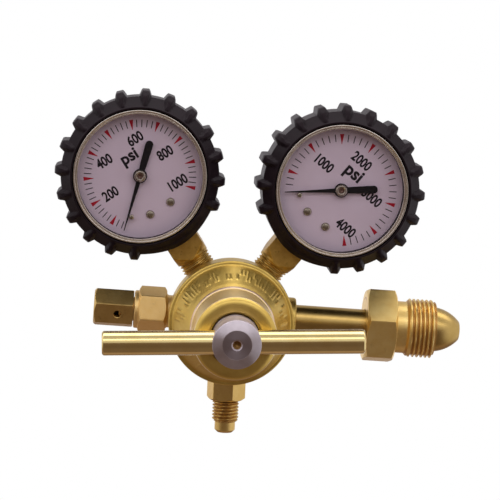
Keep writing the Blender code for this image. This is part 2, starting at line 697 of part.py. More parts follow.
def make_adjuster():
    """Screw with its tee bar, the button it pushes and the spring under the button."""
    tip = SCREW_TIP
    chamfer_start = tip - SCREW_CHAMFER
    nose_end = SCREW_END - SCREW_NOSE_LENGTH
    screw = turned("adjusting_screw", [
        (0.0, tip - CENTRE_DRILL_DEPTH),
        (CENTRE_DRILL_RADIUS, tip),
        (SCREW_FLAT_RADIUS, tip),
        (SCREW_RADIUS, chamfer_start),
        (SCREW_RADIUS, SCREW_END + SCREW_CHAMFER),
        (SCREW_RADIUS - SCREW_CHAMFER, SCREW_END),
        (SCREW_NOSE_RADIUS, SCREW_END),
        (SCREW_NOSE_RADIUS / 2.0, nose_end),
        (0.0, nose_end),
    ], AXIS_FRAME, TURNED_STEEL, MEDIUM_ROUND)
    to_bar = Matrix.Translation((0.0, 0.0, BAR_STATION))
    bar_frame = AXIS_FRAME @ to_bar @ Matrix.Rotation(BAR_REST_TURN, 4, "Z")
    along_bar = bar_frame @ Matrix.Rotation(math.radians(90.0), 4, "Y")
    drill(screw, "bar_hole", BAR_RADIUS + BORE_ALLOWANCE, -2.0 * SCREW_RADIUS, 2.0 * SCREW_RADIUS,
          along_bar, SMALL_ROUND)
    half = BAR_LENGTH / 2.0
    end = BAR_OFFSET + half
    start = BAR_OFFSET - half
    turned("tee_bar", [
        (0.0, end),
        (BAR_RADIUS - BAR_CHAMFER, end),
        (BAR_RADIUS, end - BAR_CHAMFER),
        (BAR_RADIUS, start + BAR_CHAMFER),
        (BAR_RADIUS - BAR_CHAMFER, start),
        (0.0, start),
    ], along_bar, TURNED_BRASS, SMALL_ROUND)
    dimple = SCREW_NOSE_RADIUS + BORE_ALLOWANCE
    turned("spring_button", [
        (0.0, BUTTON_TOP - SCREW_NOSE_LENGTH - GAP),
        (dimple / 2.0 + BORE_ALLOWANCE, BUTTON_TOP - SCREW_NOSE_LENGTH - GAP),
        (dimple + BORE_ALLOWANCE, BUTTON_TOP),
        (BUTTON_RADIUS, BUTTON_TOP),
        (BUTTON_RADIUS, BUTTON_BOTTOM),
        (0.0, BUTTON_BOTTOM),
    ], AXIS_FRAME, TURNED_STEEL, SMALL_ROUND)
    coil("adjusting_spring", BUTTON_RADIUS - SPRING_WIRE / 2.0, SPRING_WIRE,
         PLATE_STATION + PLATE_THICKNESS + GAP, BUTTON_BOTTOM - GAP, SPRING_TURNS, AXIS_FRAME,
         SPRING_STEEL, LARGE_COIL_POINTS)


def make_inlet():
    """Inlet nipple with its rounded nose and filter, and the loose nut that draws it in."""
    frame = port_frame(INLET_CLOCK)
    edge = (NOSE_FACE_RADIUS, NOSE_END - NOSE_EDGE_RADIUS)
    filter_bore = FILTER_RADIUS + BORE_ALLOWANCE
    filter_front = NOSE_END - FILTER_SETBACK
    filter_back = filter_front - FILTER_LENGTH
    outline = [(filter_bore, NOSE_END)]
    outline += arc(edge, NOSE_EDGE_RADIUS, math.pi / 2.0, math.pi / 4.0, 2)
    # The flank is an arc from the end of that edge down to the straight part
    drop = NOSE_RADIUS - outline[-1][0]
    rise = outline[-1][1] - NOSE_CURVE_START
    half_angle = math.asin(math.hypot(drop, rise) / 2.0 / NOSE_FLANK_RADIUS)
    lean = math.atan2(drop, rise) - half_angle
    flank_centre = (NOSE_RADIUS - NOSE_FLANK_RADIUS * math.cos(lean),
                    NOSE_CURVE_START - NOSE_FLANK_RADIUS * math.sin(lean))
    outline += arc(flank_centre, NOSE_FLANK_RADIUS, lean + 2.0 * half_angle, lean, NOSE_STEPS)[1:]
    outline += [
        (NOSE_RADIUS, NOSE_SHOULDER),
        (TUBE_RADIUS, NOSE_SHOULDER),
        (TUBE_RADIUS, SHANK_END),
        (TUBE_BORE_RADIUS, SHANK_END),
        (TUBE_BORE_RADIUS, filter_back - GAP),
        (filter_bore, filter_back - GAP),
    ]
    turned("inlet_nipple", outline, frame, TURNED_BRASS, MEDIUM_ROUND)
    turned("inlet_filter", [
        (0.0, filter_front),
        (FILTER_RADIUS, filter_front),
        (FILTER_RADIUS, filter_back),
        (0.0, filter_back),
    ], frame, SINTERED_BRONZE, SMALL_ROUND)

    corner = bar_corner(6, NUT_ACROSS_FLATS)
    bevel_radius = NUT_ACROSS_FLATS / 2.0 - BORE_ALLOWANCE
    hex_end = NUT_START + NUT_HEX_LENGTH
    thread_start = hex_end + NUT_NECK_LENGTH
    thread_end = thread_start + NUT_THREAD_LENGTH
    seat = NOSE_SHOULDER - GAP
    mouth = NOSE_RADIUS + BORE_ALLOWANCE
    milled("inlet_nut", [
        (mouth, thread_end),
        (NUT_THREAD_RADIUS - NUT_THREAD_CHAMFER, thread_end),
        (NUT_THREAD_RADIUS, thread_end - NUT_THREAD_CHAMFER),
        (NUT_THREAD_RADIUS, thread_start),
        (NUT_NECK_RADIUS, thread_start - (NUT_THREAD_RADIUS - NUT_NECK_RADIUS)),
        (NUT_NECK_RADIUS, hex_end),
        (bevel_radius, hex_end),
        (corner, hex_end - NUT_CHAMFER),
        (corner, NUT_START + NUT_CHAMFER),
        (bevel_radius, NUT_START),
        (TUBE_RADIUS + BORE_ALLOWANCE, NUT_START),
        (TUBE_RADIUS + BORE_ALLOWANCE, seat),
        (mouth, seat),
    ], frame, 6, NUT_ACROSS_FLATS, TURNED_BRASS, NUT_TURN, MEDIUM_ROUND)


def make_outlet():
    """Outlet fitting: hexagon, flare thread and the cone that a flared hose seals on."""
    frame = port_frame(OUTLET_CLOCK)
    corner = bar_corner(6, OUTLET_ACROSS_FLATS)
    shank = NECK_SHANK_RADIUS
    hex_start = PORT_BOSS_FACE + GAP
    thread_end = OUTLET_HEX_END + FLARE_NECK_LENGTH / 4.0 + FLARE_THREAD_LENGTH
    cone_foot = OUTLET_TIP - (FLARE_NECK_RADIUS - FLARE_TIP_RADIUS)
    milled("outlet_fitting", [
        (OUTLET_BORE_RADIUS, OUTLET_TIP),
        (FLARE_TIP_RADIUS, OUTLET_TIP),
        (FLARE_NECK_RADIUS, cone_foot),
        (FLARE_NECK_RADIUS, thread_end),
        (FLARE_THREAD_RADIUS - 2.0 * GAP, thread_end),
        (FLARE_THREAD_RADIUS, thread_end - 2.0 * GAP),
        (FLARE_THREAD_RADIUS, OUTLET_HEX_END + FLARE_NECK_LENGTH / 4.0),
        (FLARE_NECK_RADIUS, OUTLET_HEX_END + GAP),
        (FLARE_NECK_RADIUS, OUTLET_HEX_END),
        (OUTLET_ACROSS_FLATS / 2.0 - GAP, OUTLET_HEX_END),
        (corner, OUTLET_HEX_END - 4.0 * GAP),
        (corner, hex_start),
        (shank, hex_start),
        (shank, SHANK_END),
        (OUTLET_BORE_RADIUS, SHANK_END),
    ], frame, 6, OUTLET_ACROSS_FLATS, TURNED_BRASS, OUTLET_TURN, SMALL_ROUND)


def make_relief_valve():
    """Relief valve: hexagon body, vented cap, and the poppet and spring between them."""
    frame = port_frame(RELIEF_CLOCK)
    corner = bar_corner(6, RELIEF_ACROSS_FLATS)
    flat_radius = RELIEF_ACROSS_FLATS / 2.0
    hex_start = PORT_BOSS_FACE + RELIEF_NECK
    hex_end = hex_start + RELIEF_HEX_LENGTH
    collar_end = hex_end + RELIEF_COLLAR_LENGTH
    spigot_end = collar_end + RELIEF_SPIGOT_LENGTH
    seat = hex_end - RELIEF_SEAT_DEPTH
    chamber = RELIEF_POPPET_RADIUS + BORE_ALLOWANCE
    bevel_radius = flat_radius - BORE_ALLOWANCE
    milled("relief_body", [
        (chamber, spigot_end),
        (RELIEF_SPIGOT_RADIUS, spigot_end),
        (RELIEF_SPIGOT_RADIUS, collar_end),
        (RELIEF_COLLAR_RADIUS, collar_end),
        (RELIEF_COLLAR_RADIUS, hex_end),
        (bevel_radius, hex_end),
        (corner, hex_end - RELIEF_CHAMFER),
        (corner, hex_start + RELIEF_CHAMFER),
        (bevel_radius, hex_start),
        (NECK_SHANK_RADIUS, hex_start),
        (NECK_SHANK_RADIUS, SHANK_END),
        (RELIEF_BORE_RADIUS, SHANK_END),
        (RELIEF_BORE_RADIUS, seat),
        (chamber, seat),
    ], frame, 6, RELIEF_ACROSS_FLATS, PALE_BRASS, RELIEF_TURN, SMALL_ROUND)

    cap_corner = bar_corner(6, RELIEF_CAP_ACROSS_FLATS)
    cap_start = collar_end + GAP
    cap_end = cap_start + RELIEF_CAP_LENGTH
    room_end = cap_end - RELIEF_CAP_WALL
    cap = milled("relief_cap", [
        (0.0, cap_end),
        (RELIEF_CAP_ACROSS_FLATS / 2.0 - RELIEF_CAP_ROUND / 2.0, cap_end),
        (cap_corner, cap_end - RELIEF_CAP_ROUND),
        (cap_corner, cap_start + 2.0 * GAP),
        (RELIEF_CAP_ACROSS_FLATS / 2.0, cap_start),
        (RELIEF_SPIGOT_RADIUS + BORE_ALLOWANCE, cap_start),
        (RELIEF_SPIGOT_RADIUS + BORE_ALLOWANCE, spigot_end + GAP),
        (chamber, spigot_end + GAP),
        (chamber, room_end),
        (0.0, room_end),
    ], frame, 6, RELIEF_CAP_ACROSS_FLATS, DARK_BRASS, RELIEF_CAP_TURN, SMALL_ROUND)
    vent_frame = (port_frame(RELIEF_CLOCK, cap_start + RELIEF_VENT_PLACE)
                  @ Matrix.Rotation(RELIEF_CAP_TURN, 4, "Z")
                  @ Matrix.Rotation(math.radians(90.0), 4, "X"))
    drill(cap, "relief_vent", RELIEF_VENT_RADIUS, 0.0, cap_corner * 2.0, vent_frame, TINY_ROUND)

    poppet_start = seat + GAP
    poppet_end = poppet_start + RELIEF_POPPET_LENGTH
    turned("relief_poppet", [
        (0.0, poppet_end + RELIEF_LIFT),
        (RELIEF_SPRING_RADIUS / 2.0, poppet_end + RELIEF_LIFT),
        (RELIEF_SPRING_RADIUS / 2.0, poppet_end),
        (RELIEF_POPPET_RADIUS, poppet_end),
        (RELIEF_POPPET_RADIUS, poppet_start),
        (0.0, poppet_start),
    ], frame, TURNED_BRASS, SMALL_ROUND)
    coil("relief_spring", RELIEF_SPRING_RADIUS, RELIEF_WIRE, poppet_end + GAP, room_end - GAP,
         RELIEF_SPRING_TURNS, frame, SPRING_STEEL)


def toothed_arc(centre, teeth, first, last, start_clock, step_sign):
    """Outline points of straight-sided gear teeth, one after another, at clock angles."""
    pitch_radius = GEAR_MODULE * teeth / 2.0
    tooth_step = 2.0 * math.pi / teeth
    sizes = (
        (pitch_radius - TOOTH_DEDENDUM, TOOTH_ROOT_THICKNESS),
        (pitch_radius + TOOTH_ADDENDUM, TOOTH_TIP_THICKNESS),
    )
    points = []
    for index in range(first, last + 1):
        middle = start_clock + step_sign * index * tooth_step
        for radius, thickness in sizes:
            points.append(clock_point(radius, middle - step_sign * thickness / 2.0 / radius, centre))
        for radius, thickness in reversed(sizes):
            points.append(clock_point(radius, middle + step_sign * thickness / 2.0 / radius, centre))
    return points


def circle(centre, radius, facets=TINY_ROUND):
    """Closed ring of points for a hole or a disc."""
    return [clock_point(radius, 2.0 * math.pi * index / facets, centre) for index in range(facets)]


def boot_outline():
    """Outline of the boot seen from the front: teeth all round, none beside the stem."""
    step = 2.0 * math.pi / BOOT_TOOTH_PLACES
    base = BOOT_TOOTH_BASE / 2.0 / BOOT_RADIUS
    tip = BOOT_TOOTH_TIP / 2.0 / BOOT_TOOTH_RADIUS
    first = (BOOT_MISSING_TEETH + 1) // 2
    points = []
    for place_number in range(first, BOOT_TOOTH_PLACES - first + 1):
        middle = math.pi + place_number * step
        points.append(clock_point(BOOT_RADIUS, middle - base))
        points.append(clock_point(BOOT_TOOTH_RADIUS, middle - tip))
        points.append(clock_point(BOOT_TOOTH_RADIUS, middle + tip))
        points.append(clock_point(BOOT_RADIUS, middle + base))
        points.append(clock_point(BOOT_RADIUS, middle + step / 2.0))
    last = math.pi - first * step + step / 2.0
    for index in range(1, BULGE_STEPS):
        clock = last + (2.0 * first - 1.0) * step * index / BULGE_STEPS
        away = min(abs(clock - math.pi) / BOOT_BULGE_HALF_ANGLE, 1.0)
        swell = BOOT_BULGE * (0.5 + 0.5 * math.cos(math.pi * away))
        points.append(clock_point(BOOT_RADIUS + swell, clock))
    return points


def make_boot(prefix, frame, stem_frame):
    """Rubber boot that grips the case, with ribs to shrug off knocks."""
    case_room = CASE_RADIUS + BORE_ALLOWANCE
    bezel_room = BEZEL_RADIUS + BORE_ALLOWANCE
    bezel_back = CASE_FRONT + GAP + LENS_THICKNESS + GAP + BEZEL_LIP - BEZEL_SKIRT
    outer = BOOT_TOOTH_RADIUS + BORE_ALLOWANCE
    boot = turned(prefix + "boot", [
        (bezel_room, BOOT_FRONT),
        (BOOT_LIP_RADIUS, BOOT_FRONT),
        (outer, BOOT_SHOULDER),
        (outer, BOOT_BACK + BOOT_BACK_CHAMFER),
        (BOOT_RADIUS - BOOT_BACK_CHAMFER / 2.0, BOOT_BACK),
        (BOOT_BACK_OPENING, BOOT_BACK),
        (BOOT_BACK_OPENING, BOOT_BACK + BOOT_BACK_LIP),
        (case_room, BOOT_BACK + BOOT_BACK_LIP),
        (case_room, bezel_back - GAP),
        (bezel_room, bezel_back - GAP),
    ], frame, BLACK_RUBBER, BOOT_TOOTH_PLACES * 2)
    ribs = flat(prefix + "boot_ribs", [boot_outline()], BOOT_BACK - BOOT_BACK_LIP,
                BOOT_FRONT - BOOT_BACK + 2.0 * BOOT_BACK_LIP, frame)
    combine(boot, ribs, "INTERSECT")
    window = SOCKET_ACROSS_FLATS / 2.0 + GAP
    hole = block(prefix + "boot_window", (-window, -window, GAUGE_REACH - BOOT_TOOTH_RADIUS - window),
                 (window, window, GAUGE_REACH - CASE_RADIUS + window), stem_frame)
    combine(boot, hole, "DIFFERENCE")


def make_case(prefix, frame, stem_frame):
    """Case, bezel, lens and dial with its two screws and the pointer's stop pin."""
    inner = CASE_RADIUS - CASE_WALL
    floor = CASE_BACK + CASE_WALL
    case = turned(prefix + "case", [
        (0.0, floor),
        (inner, floor),
        (inner, CASE_FRONT),
        (CASE_RADIUS, CASE_FRONT),
        (CASE_RADIUS, CASE_BACK + CASE_BACK_ROUND),
        (CASE_RADIUS - CASE_BACK_ROUND, CASE_BACK),
        (0.0, CASE_BACK),
    ], frame, CASE_STEEL, LARGE_ROUND)
    window = SOCKET_ACROSS_FLATS / 2.0 + GAP
    hole = block(prefix + "case_window", (-window, -window, GAUGE_REACH - CASE_RADIUS - window),
                 (window, window, GAUGE_REACH - inner + window), stem_frame)
    combine(case, hole, "DIFFERENCE")

    lens_back = CASE_FRONT + GAP
    lens_front = lens_back + LENS_THICKNESS
    turned(prefix + "lens", [(0.0, lens_front), (CASE_RADIUS, lens_front), (CASE_RADIUS, lens_back),
                             (0.0, lens_back)], frame, CLEAR_LENS, LARGE_ROUND)
    lip_back = lens_front + GAP
    lip_front = lip_back + BEZEL_LIP
    skirt_end = lip_front - BEZEL_SKIRT
    turned(prefix + "bezel", [
        (BEZEL_OPENING, lip_front - BEZEL_LIP / 2.0),
        (BEZEL_OPENING + BEZEL_LIP / 2.0, lip_front),
        (BEZEL_RADIUS - BEZEL_LIP / 2.0, lip_front),
        (BEZEL_RADIUS, lip_front - BEZEL_LIP / 2.0),
        (BEZEL_RADIUS, skirt_end),
        (CASE_RADIUS + BORE_ALLOWANCE, skirt_end),
        (CASE_RADIUS + BORE_ALLOWANCE, lip_back),
        (BEZEL_OPENING, lip_back),
    ], frame, BEZEL_STEEL, LARGE_ROUND)

    dial_back = DIAL_FACE - DIAL_THICKNESS
    screw_places = [clock_point(DIAL_SCREW_PLACE, math.pi + side * DIAL_SCREW_SPREAD) for side in (-1, 1)]
    pin_place = clock_point(STOP_PIN_PLACE, STOP_PIN_CLOCK)
    shank_hole = DIAL_SHANK_RADIUS + BORE_ALLOWANCE
    holes = [circle((0.0, 0.0), DIAL_HOLE_RADIUS), circle(pin_place, STOP_PIN_RADIUS + BORE_ALLOWANCE)]
    holes += [circle(place_on_dial, shank_hole) for place_on_dial in screw_places]
    flat(prefix + "dial", [circle((0.0, 0.0), DIAL_RADIUS, LARGE_ROUND)] + holes, dial_back,
         DIAL_THICKNESS, frame, DIAL_WHITE)
    head = DIAL_FACE + GAP
    for number, (across, up) in enumerate(screw_places, start=1):
        turned(prefix + "dial_screw_%d" % number, [
            (0.0, head + DIAL_SCREW_HEIGHT),
            (DIAL_SCREW_CROWN_RADIUS, head + DIAL_SCREW_CROWN_HEIGHT),
            (DIAL_SCREW_RADIUS, head),
            (DIAL_SHANK_RADIUS, head),
            (DIAL_SHANK_RADIUS, dial_back),
            (0.0, dial_back),
        ], frame @ Matrix.Translation((across, up, 0.0)), TURNED_BRASS, TINY_ROUND)
    turned(prefix + "stop_pin", [
        (0.0, DIAL_FACE + STOP_PIN_HEIGHT),
        (STOP_PIN_RADIUS, DIAL_FACE + STOP_PIN_HEIGHT),
        (STOP_PIN_RADIUS, dial_back),
        (0.0, dial_back),
    ], frame @ Matrix.Translation((*pin_place, 0.0)), TURNED_BRASS, TINY_ROUND)


def make_socket(prefix, frame, stem_frame):
    """Socket: pipe thread, square for the spanner, and the holder for dial and movement."""
    half = SOCKET_ACROSS_FLATS / 2.0
    corner = bar_corner(4, SOCKET_ACROSS_FLATS)
    top = GAUGE_REACH + HOLDER_BOTTOM + half
    socket = milled(prefix + "socket", [
        (SOCKET_BORE_RADIUS, top),
        (corner, top),
        (corner, SOCKET_SHOULDER + SOCKET_SHOULDER_RISE),
        (half + GAP, SOCKET_SHOULDER),
        (SOCKET_TAPER_RADIUS, SOCKET_TAPER_START),
        (SOCKET_THREAD_RADIUS, SOCKET_TAPER_START - GAP),
        (SOCKET_THREAD_RADIUS, SHANK_END),
        (SOCKET_BORE_RADIUS, SHANK_END),
    ], stem_frame, 4, SOCKET_ACROSS_FLATS, DARK_BRASS, 0.0, SMALL_ROUND)
    holder = block(prefix + "holder", (-HOLDER_HALF_WIDTH, HOLDER_BOTTOM, HOLDER_BACK),
                   (HOLDER_HALF_WIDTH, HOLDER_TOP, DIAL_FACE - DIAL_THICKNESS - GAP), frame)
    combine(socket, holder, "UNION")


def make_movement(prefix, frame):
    """Bourdon tube, movement plates, toothed sector with its link, pinion and pointer."""
    # The tube is soldered to the holder's side, where its inner wall just clears the holder
    start = math.pi + math.asin((HOLDER_HALF_WIDTH + GAP) / (BOURDON_RADIUS - BOURDON_SECTION))
    path = []
    for index in range(BOURDON_POINTS + 1):
        clock = start + (BOURDON_TIP_CLOCK - start) * index / BOURDON_POINTS
        path.append((*clock_point(BOURDON_RADIUS, clock), 0.0))
    tube = wire(prefix + "bourdon_tube", path, BOURDON_SECTION, frame, DARK_BRASS)
    tube.data.transform(Matrix.Translation((0.0, 0.0, BOURDON_STATION))
                        @ Matrix.Diagonal((1.0, 1.0, BOURDON_HEIGHT / BOURDON_SECTION / 2.0, 1.0)))

    centre_distance = GEAR_MODULE * (PINION_TEETH + SECTOR_FULL_TEETH) / 2.0
    pivot = (centre_distance, 0.0)
    pivot_hole = ARBOR_RADIUS + BORE_ALLOWANCE
    corners = (
        (PLATE_RIGHT - PLATE_CORNER, PLATE_TOP - PLATE_CORNER, 0.0),
        (PLATE_LEFT + PLATE_CORNER, PLATE_TOP - PLATE_CORNER, math.pi / 2.0),
        (PLATE_LEFT + PLATE_CORNER, PLATE_BOTTOM + PLATE_CORNER, math.pi),
        (PLATE_RIGHT - PLATE_CORNER, PLATE_BOTTOM + PLATE_CORNER, math.pi * 1.5),
    )
    outline = []
    for across, up, angle in corners:
        outline += arc((across, up), PLATE_CORNER, angle, angle + math.pi / 2.0, 3)
    foot = [
        (-PLATE_FOOT_HALF_WIDTH, PLATE_BOTTOM - GAP),
        (-PLATE_FOOT_HALF_WIDTH, HOLDER_TOP + GAP),
        (PLATE_FOOT_HALF_WIDTH, HOLDER_TOP + GAP),
        (PLATE_FOOT_HALF_WIDTH, PLATE_BOTTOM - GAP),
    ]
    with_foot = outline[:12] + foot + outline[12:]
    pivot_holes = [circle((0.0, 0.0), pivot_hole), circle(pivot, pivot_hole)]
    rear = flat(prefix + "rear_plate", [with_foot] + pivot_holes, REAR_PLATE_STATION, MOVEMENT_PLATE,
                frame, TURNED_BRASS)
    for number, (across, up) in enumerate(PILLARS, start=1):
        pillar = turned("%spillar_%d" % (prefix, number), [
            (0.0, FRONT_PLATE_STATION - GAP),
            (PILLAR_RADIUS, FRONT_PLATE_STATION - GAP),
            (PILLAR_RADIUS, REAR_PLATE_STATION + MOVEMENT_PLATE / 2.0),
            (0.0, REAR_PLATE_STATION + MOVEMENT_PLATE / 2.0),
        ], frame @ Matrix.Translation((across, up, 0.0)), None, TINY_ROUND)
        combine(rear, pillar, "UNION")
    flat(prefix + "front_plate", [outline] + pivot_holes, FRONT_PLATE_STATION, MOVEMENT_PLATE, frame,
         TURNED_BRASS)

    make_sector(prefix, frame @ Matrix.Translation((*pivot, 0.0)))
    make_link(prefix, frame @ Matrix.Translation((*clock_point(SECTOR_TAIL, SECTOR_TAIL_CLOCK, pivot), 0.0)),
              pivot)
    make_pinion(prefix, frame)
    make_pointer(prefix, frame @ Matrix.Rotation(-POINTER_REST_CLOCK, 4, "Z"))


def make_sector(prefix, frame):
    """Toothed sector on its own shaft, with the tail that the link pulls."""
    outline = toothed_arc((0.0, 0.0), SECTOR_FULL_TEETH, SECTOR_FIRST_TOOTH, SECTOR_LAST_TOOTH,
                          math.radians(270.0), 1.0)
    fan_end = math.radians(270.0) + SECTOR_LAST_TOOTH * 2.0 * math.pi / SECTOR_FULL_TEETH
    fan_start = math.radians(270.0) + SECTOR_FIRST_TOOTH * 2.0 * math.pi / SECTOR_FULL_TEETH
    tail_lean = SECTOR_TAIL_HALF_WIDTH / SECTOR_HUB_RADIUS
    hub_steps = 5
    before_tail = SECTOR_TAIL_CLOCK + 2.0 * math.pi - tail_lean
    for index in range(hub_steps + 1):
        clock = fan_end + (before_tail - fan_end) * index / hub_steps
        outline.append(clock_point(SECTOR_HUB_RADIUS, clock))
    tail_centre = clock_point(SECTOR_TAIL, SECTOR_TAIL_CLOCK)
    for index in range(TAIL_STEPS + 1):
        clock = SECTOR_TAIL_CLOCK - math.pi / 2.0 + math.pi * index / TAIL_STEPS
        outline.append(clock_point(SECTOR_TAIL_END_RADIUS, clock, tail_centre))
    after_tail = SECTOR_TAIL_CLOCK + tail_lean
    for index in range(3):
        clock = after_tail + (fan_start - after_tail) * index / 2
        outline.append(clock_point(SECTOR_HUB_RADIUS, clock))
    holes = [circle(tail_centre, LINK_PIN_RADIUS + BORE_ALLOWANCE)]
    sector = flat(prefix + "sector_gear", [outline] + holes, GEAR_STATION, GEAR_THICKNESS, frame,
                  TURNED_BRASS)
    shaft_low = REAR_PLATE_STATION
    shaft_high = FRONT_PLATE_STATION + MOVEMENT_PLATE
    shaft = turned(prefix + "sector_shaft", [(0.0, shaft_high), (ARBOR_RADIUS, shaft_high),
                                             (ARBOR_RADIUS, shaft_low), (0.0, shaft_low)],
                   frame, None, TINY_ROUND)
    combine(sector, shaft, "UNION")


def make_link(prefix, frame, pivot):
    """Link from the sector's tail to the free end of the bourdon tube."""
    tail = clock_point(SECTOR_TAIL, SECTOR_TAIL_CLOCK, pivot)
    tip = clock_point(BOURDON_RADIUS, BOURDON_TIP_CLOCK)
    reach = (tip[0] - tail[0], tip[1] - tail[1])
    heading = math.atan2(reach[1], reach[0])
    outline = arc((0.0, 0.0), LINK_HALF_WIDTH, heading + math.pi / 2.0, heading + math.pi * 1.5, 5)
    outline += arc(reach, LINK_HALF_WIDTH, heading - math.pi / 2.0, heading + math.pi / 2.0, 5)
    low = GEAR_STATION + GEAR_THICKNESS + GAP
    link = flat(prefix + "link", [outline], low, LINK_THICKNESS, frame, TURNED_BRASS)
    pin_low = GEAR_STATION - GAP
    pin = turned(prefix + "link_pin", [(0.0, low + LINK_THICKNESS / 2.0),
                                       (LINK_PIN_RADIUS, low + LINK_THICKNESS / 2.0),
                                       (LINK_PIN_RADIUS, pin_low), (0.0, pin_low)], frame, None, TINY_ROUND)
    combine(link, pin, "UNION")


def make_pinion(prefix, frame):
    """Pinion on the arbor that carries the pointer through the dial."""
    half_tooth = math.pi / PINION_TEETH
    outline = toothed_arc((0.0, 0.0), PINION_TEETH, 0, PINION_TEETH - 1, math.radians(90.0) + half_tooth, 1.0)
    low = GEAR_STATION + GEAR_THICKNESS / 2.0 - PINION_LENGTH / 2.0
    pinion = flat(prefix + "pinion", [outline], low, PINION_LENGTH, frame, TURNED_BRASS)
    top = POINTER_STATION + POINTER_HUB_HEIGHT - GAP
    arbor = turned(prefix + "pinion_arbor", [(0.0, top), (ARBOR_RADIUS, top),
                                             (ARBOR_RADIUS, REAR_PLATE_STATION),
                                             (0.0, REAR_PLATE_STATION)], frame, None, TINY_ROUND)
    combine(pinion, arbor, "UNION")


def make_pointer(prefix, frame):
    """Pointer with a thin needle, a broad rounded tail and a hub over the arbor."""
    tail_centre = (0.0, -POINTER_TAIL + POINTER_TAIL_HALF_WIDTH)
    outline = [
        (-POINTER_TIP_HALF_WIDTH, POINTER_TIP),
        (-POINTER_ROOT_HALF_WIDTH, 0.0),
        (-POINTER_TAIL_HALF_WIDTH, -POINTER_SHOULDER),
    ]
    outline += arc(tail_centre, POINTER_TAIL_HALF_WIDTH, math.pi, 2.0 * math.pi, TAIL_STEPS)
    outline += [
        (POINTER_TAIL_HALF_WIDTH, -POINTER_SHOULDER),
        (POINTER_ROOT_HALF_WIDTH, 0.0),
        (POINTER_TIP_HALF_WIDTH, POINTER_TIP),
    ]
    pointer = flat(prefix + "pointer", [outline], POINTER_STATION, POINTER_THICKNESS, frame, POINTER_BLACK)
    hub_top = POINTER_STATION + POINTER_HUB_HEIGHT
    hub = turned(prefix + "pointer_hub", [
        (0.0, hub_top),
        (POINTER_HUB_RADIUS, hub_top),
        (POINTER_HUB_RADIUS, POINTER_STATION + POINTER_THICKNESS / 2.0),
        (0.0, POINTER_STATION + POINTER_THICKNESS / 2.0),
    ], frame, None, SMALL_ROUND)
    combine(pointer, hub, "UNION")
    drill(pointer, prefix + "pointer_bore", ARBOR_RADIUS + BORE_ALLOWANCE, POINTER_STATION - GAP,
          hub_top - GAP / 2.0, frame, TINY_ROUND)


def make_gauge(prefix, clock):
    """One gauge, modelled about its own centre and screwed into its port."""
    frame = gauge_frame(clock)
    stem_frame = port_frame(clock)
    make_socket(prefix, frame, stem_frame)
    make_case(prefix, frame, stem_frame)
    make_movement(prefix, frame)
    make_boot(prefix, frame, stem_frame)


make_valve_body()
make_bonnet()
make_diaphragm_stack()
make_valve()
make_adjuster()
make_inlet()
make_outlet()
make_relief_valve()
for gauge_name, gauge_clock in (("delivery_gauge_", -GAUGE_SPREAD), ("cylinder_gauge_", GAUGE_SPREAD)):
    make_gauge(gauge_name, gauge_clock)
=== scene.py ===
# %% [markdown]
# # A nitrogen regulator
#
# The object is a forged brass regulator for cylinder gas. A steel screw with a brass tee bar
# faces the user, two dial gauges in black rubber boots stand above it, an inlet with a big
# nut points right, a relief valve points left and a flare outlet points down.
#
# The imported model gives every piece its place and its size. The cells below dress it: each
# visible piece is turned, milled or moulded again with fine edges, threads and ribs, and each
# gets a finish made of shader nodes.

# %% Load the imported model
import math

import bmesh
import bpy
import numpy as np
from mathutils import Matrix, Vector


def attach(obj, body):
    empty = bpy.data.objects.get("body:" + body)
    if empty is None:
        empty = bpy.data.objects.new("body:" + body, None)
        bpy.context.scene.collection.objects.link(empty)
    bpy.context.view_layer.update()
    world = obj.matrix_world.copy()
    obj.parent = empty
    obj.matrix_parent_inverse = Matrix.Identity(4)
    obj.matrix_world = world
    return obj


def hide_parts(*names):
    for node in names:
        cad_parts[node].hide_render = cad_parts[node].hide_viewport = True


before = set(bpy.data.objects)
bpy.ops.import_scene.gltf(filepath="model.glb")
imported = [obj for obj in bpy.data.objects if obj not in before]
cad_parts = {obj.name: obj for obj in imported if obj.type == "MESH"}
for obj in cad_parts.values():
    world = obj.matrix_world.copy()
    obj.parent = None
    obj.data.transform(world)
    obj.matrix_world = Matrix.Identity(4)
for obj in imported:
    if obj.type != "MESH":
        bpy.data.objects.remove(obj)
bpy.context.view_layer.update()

# %% [markdown]
# ## Frames
#
# Every piece of a regulator is turned about one of a few axes: its own axis, one of the five
# ports around it, or a gauge's face. It is easiest to draw each piece along its own Z axis and
# let a matrix carry it into place. The sizes below are in millimetres and the angles in
# degrees, as on a drawing, and one scale turns the sizes into Blender's metres.

# %% Units and frames
MM = 0.001
PORT_STATION = 16.0
GAUGE_REACH = 70.3
GAUGE_SPREAD = 36.0


def shift(across, up, out):
    """Translation by millimetres."""
    return Matrix.Translation((across * MM, up * MM, out * MM))


def turn(degrees, axis="Z"):
    """Rotation by degrees about an axis."""
    return Matrix.Rotation(math.radians(degrees), 4, axis)


def port_frame(clock, station=0.0):
    """Frame whose Z axis runs out of a port, at a clock angle seen from the tee bar."""
    return shift(0.0, -PORT_STATION, 0.0) @ turn(clock, "Y") @ shift(0.0, 0.0, station)


def gauge_frame(clock):
    """Frame of a dial: Z faces the reader and Y points away from the stem."""
    return port_frame(clock, GAUGE_REACH) @ AXIS_FRAME


def on_both_gauges(make):
    """All the pieces that a function makes for the two gauges, in one list."""
    return [piece for side, clock in GAUGES.items() for piece in make(side, clock)]


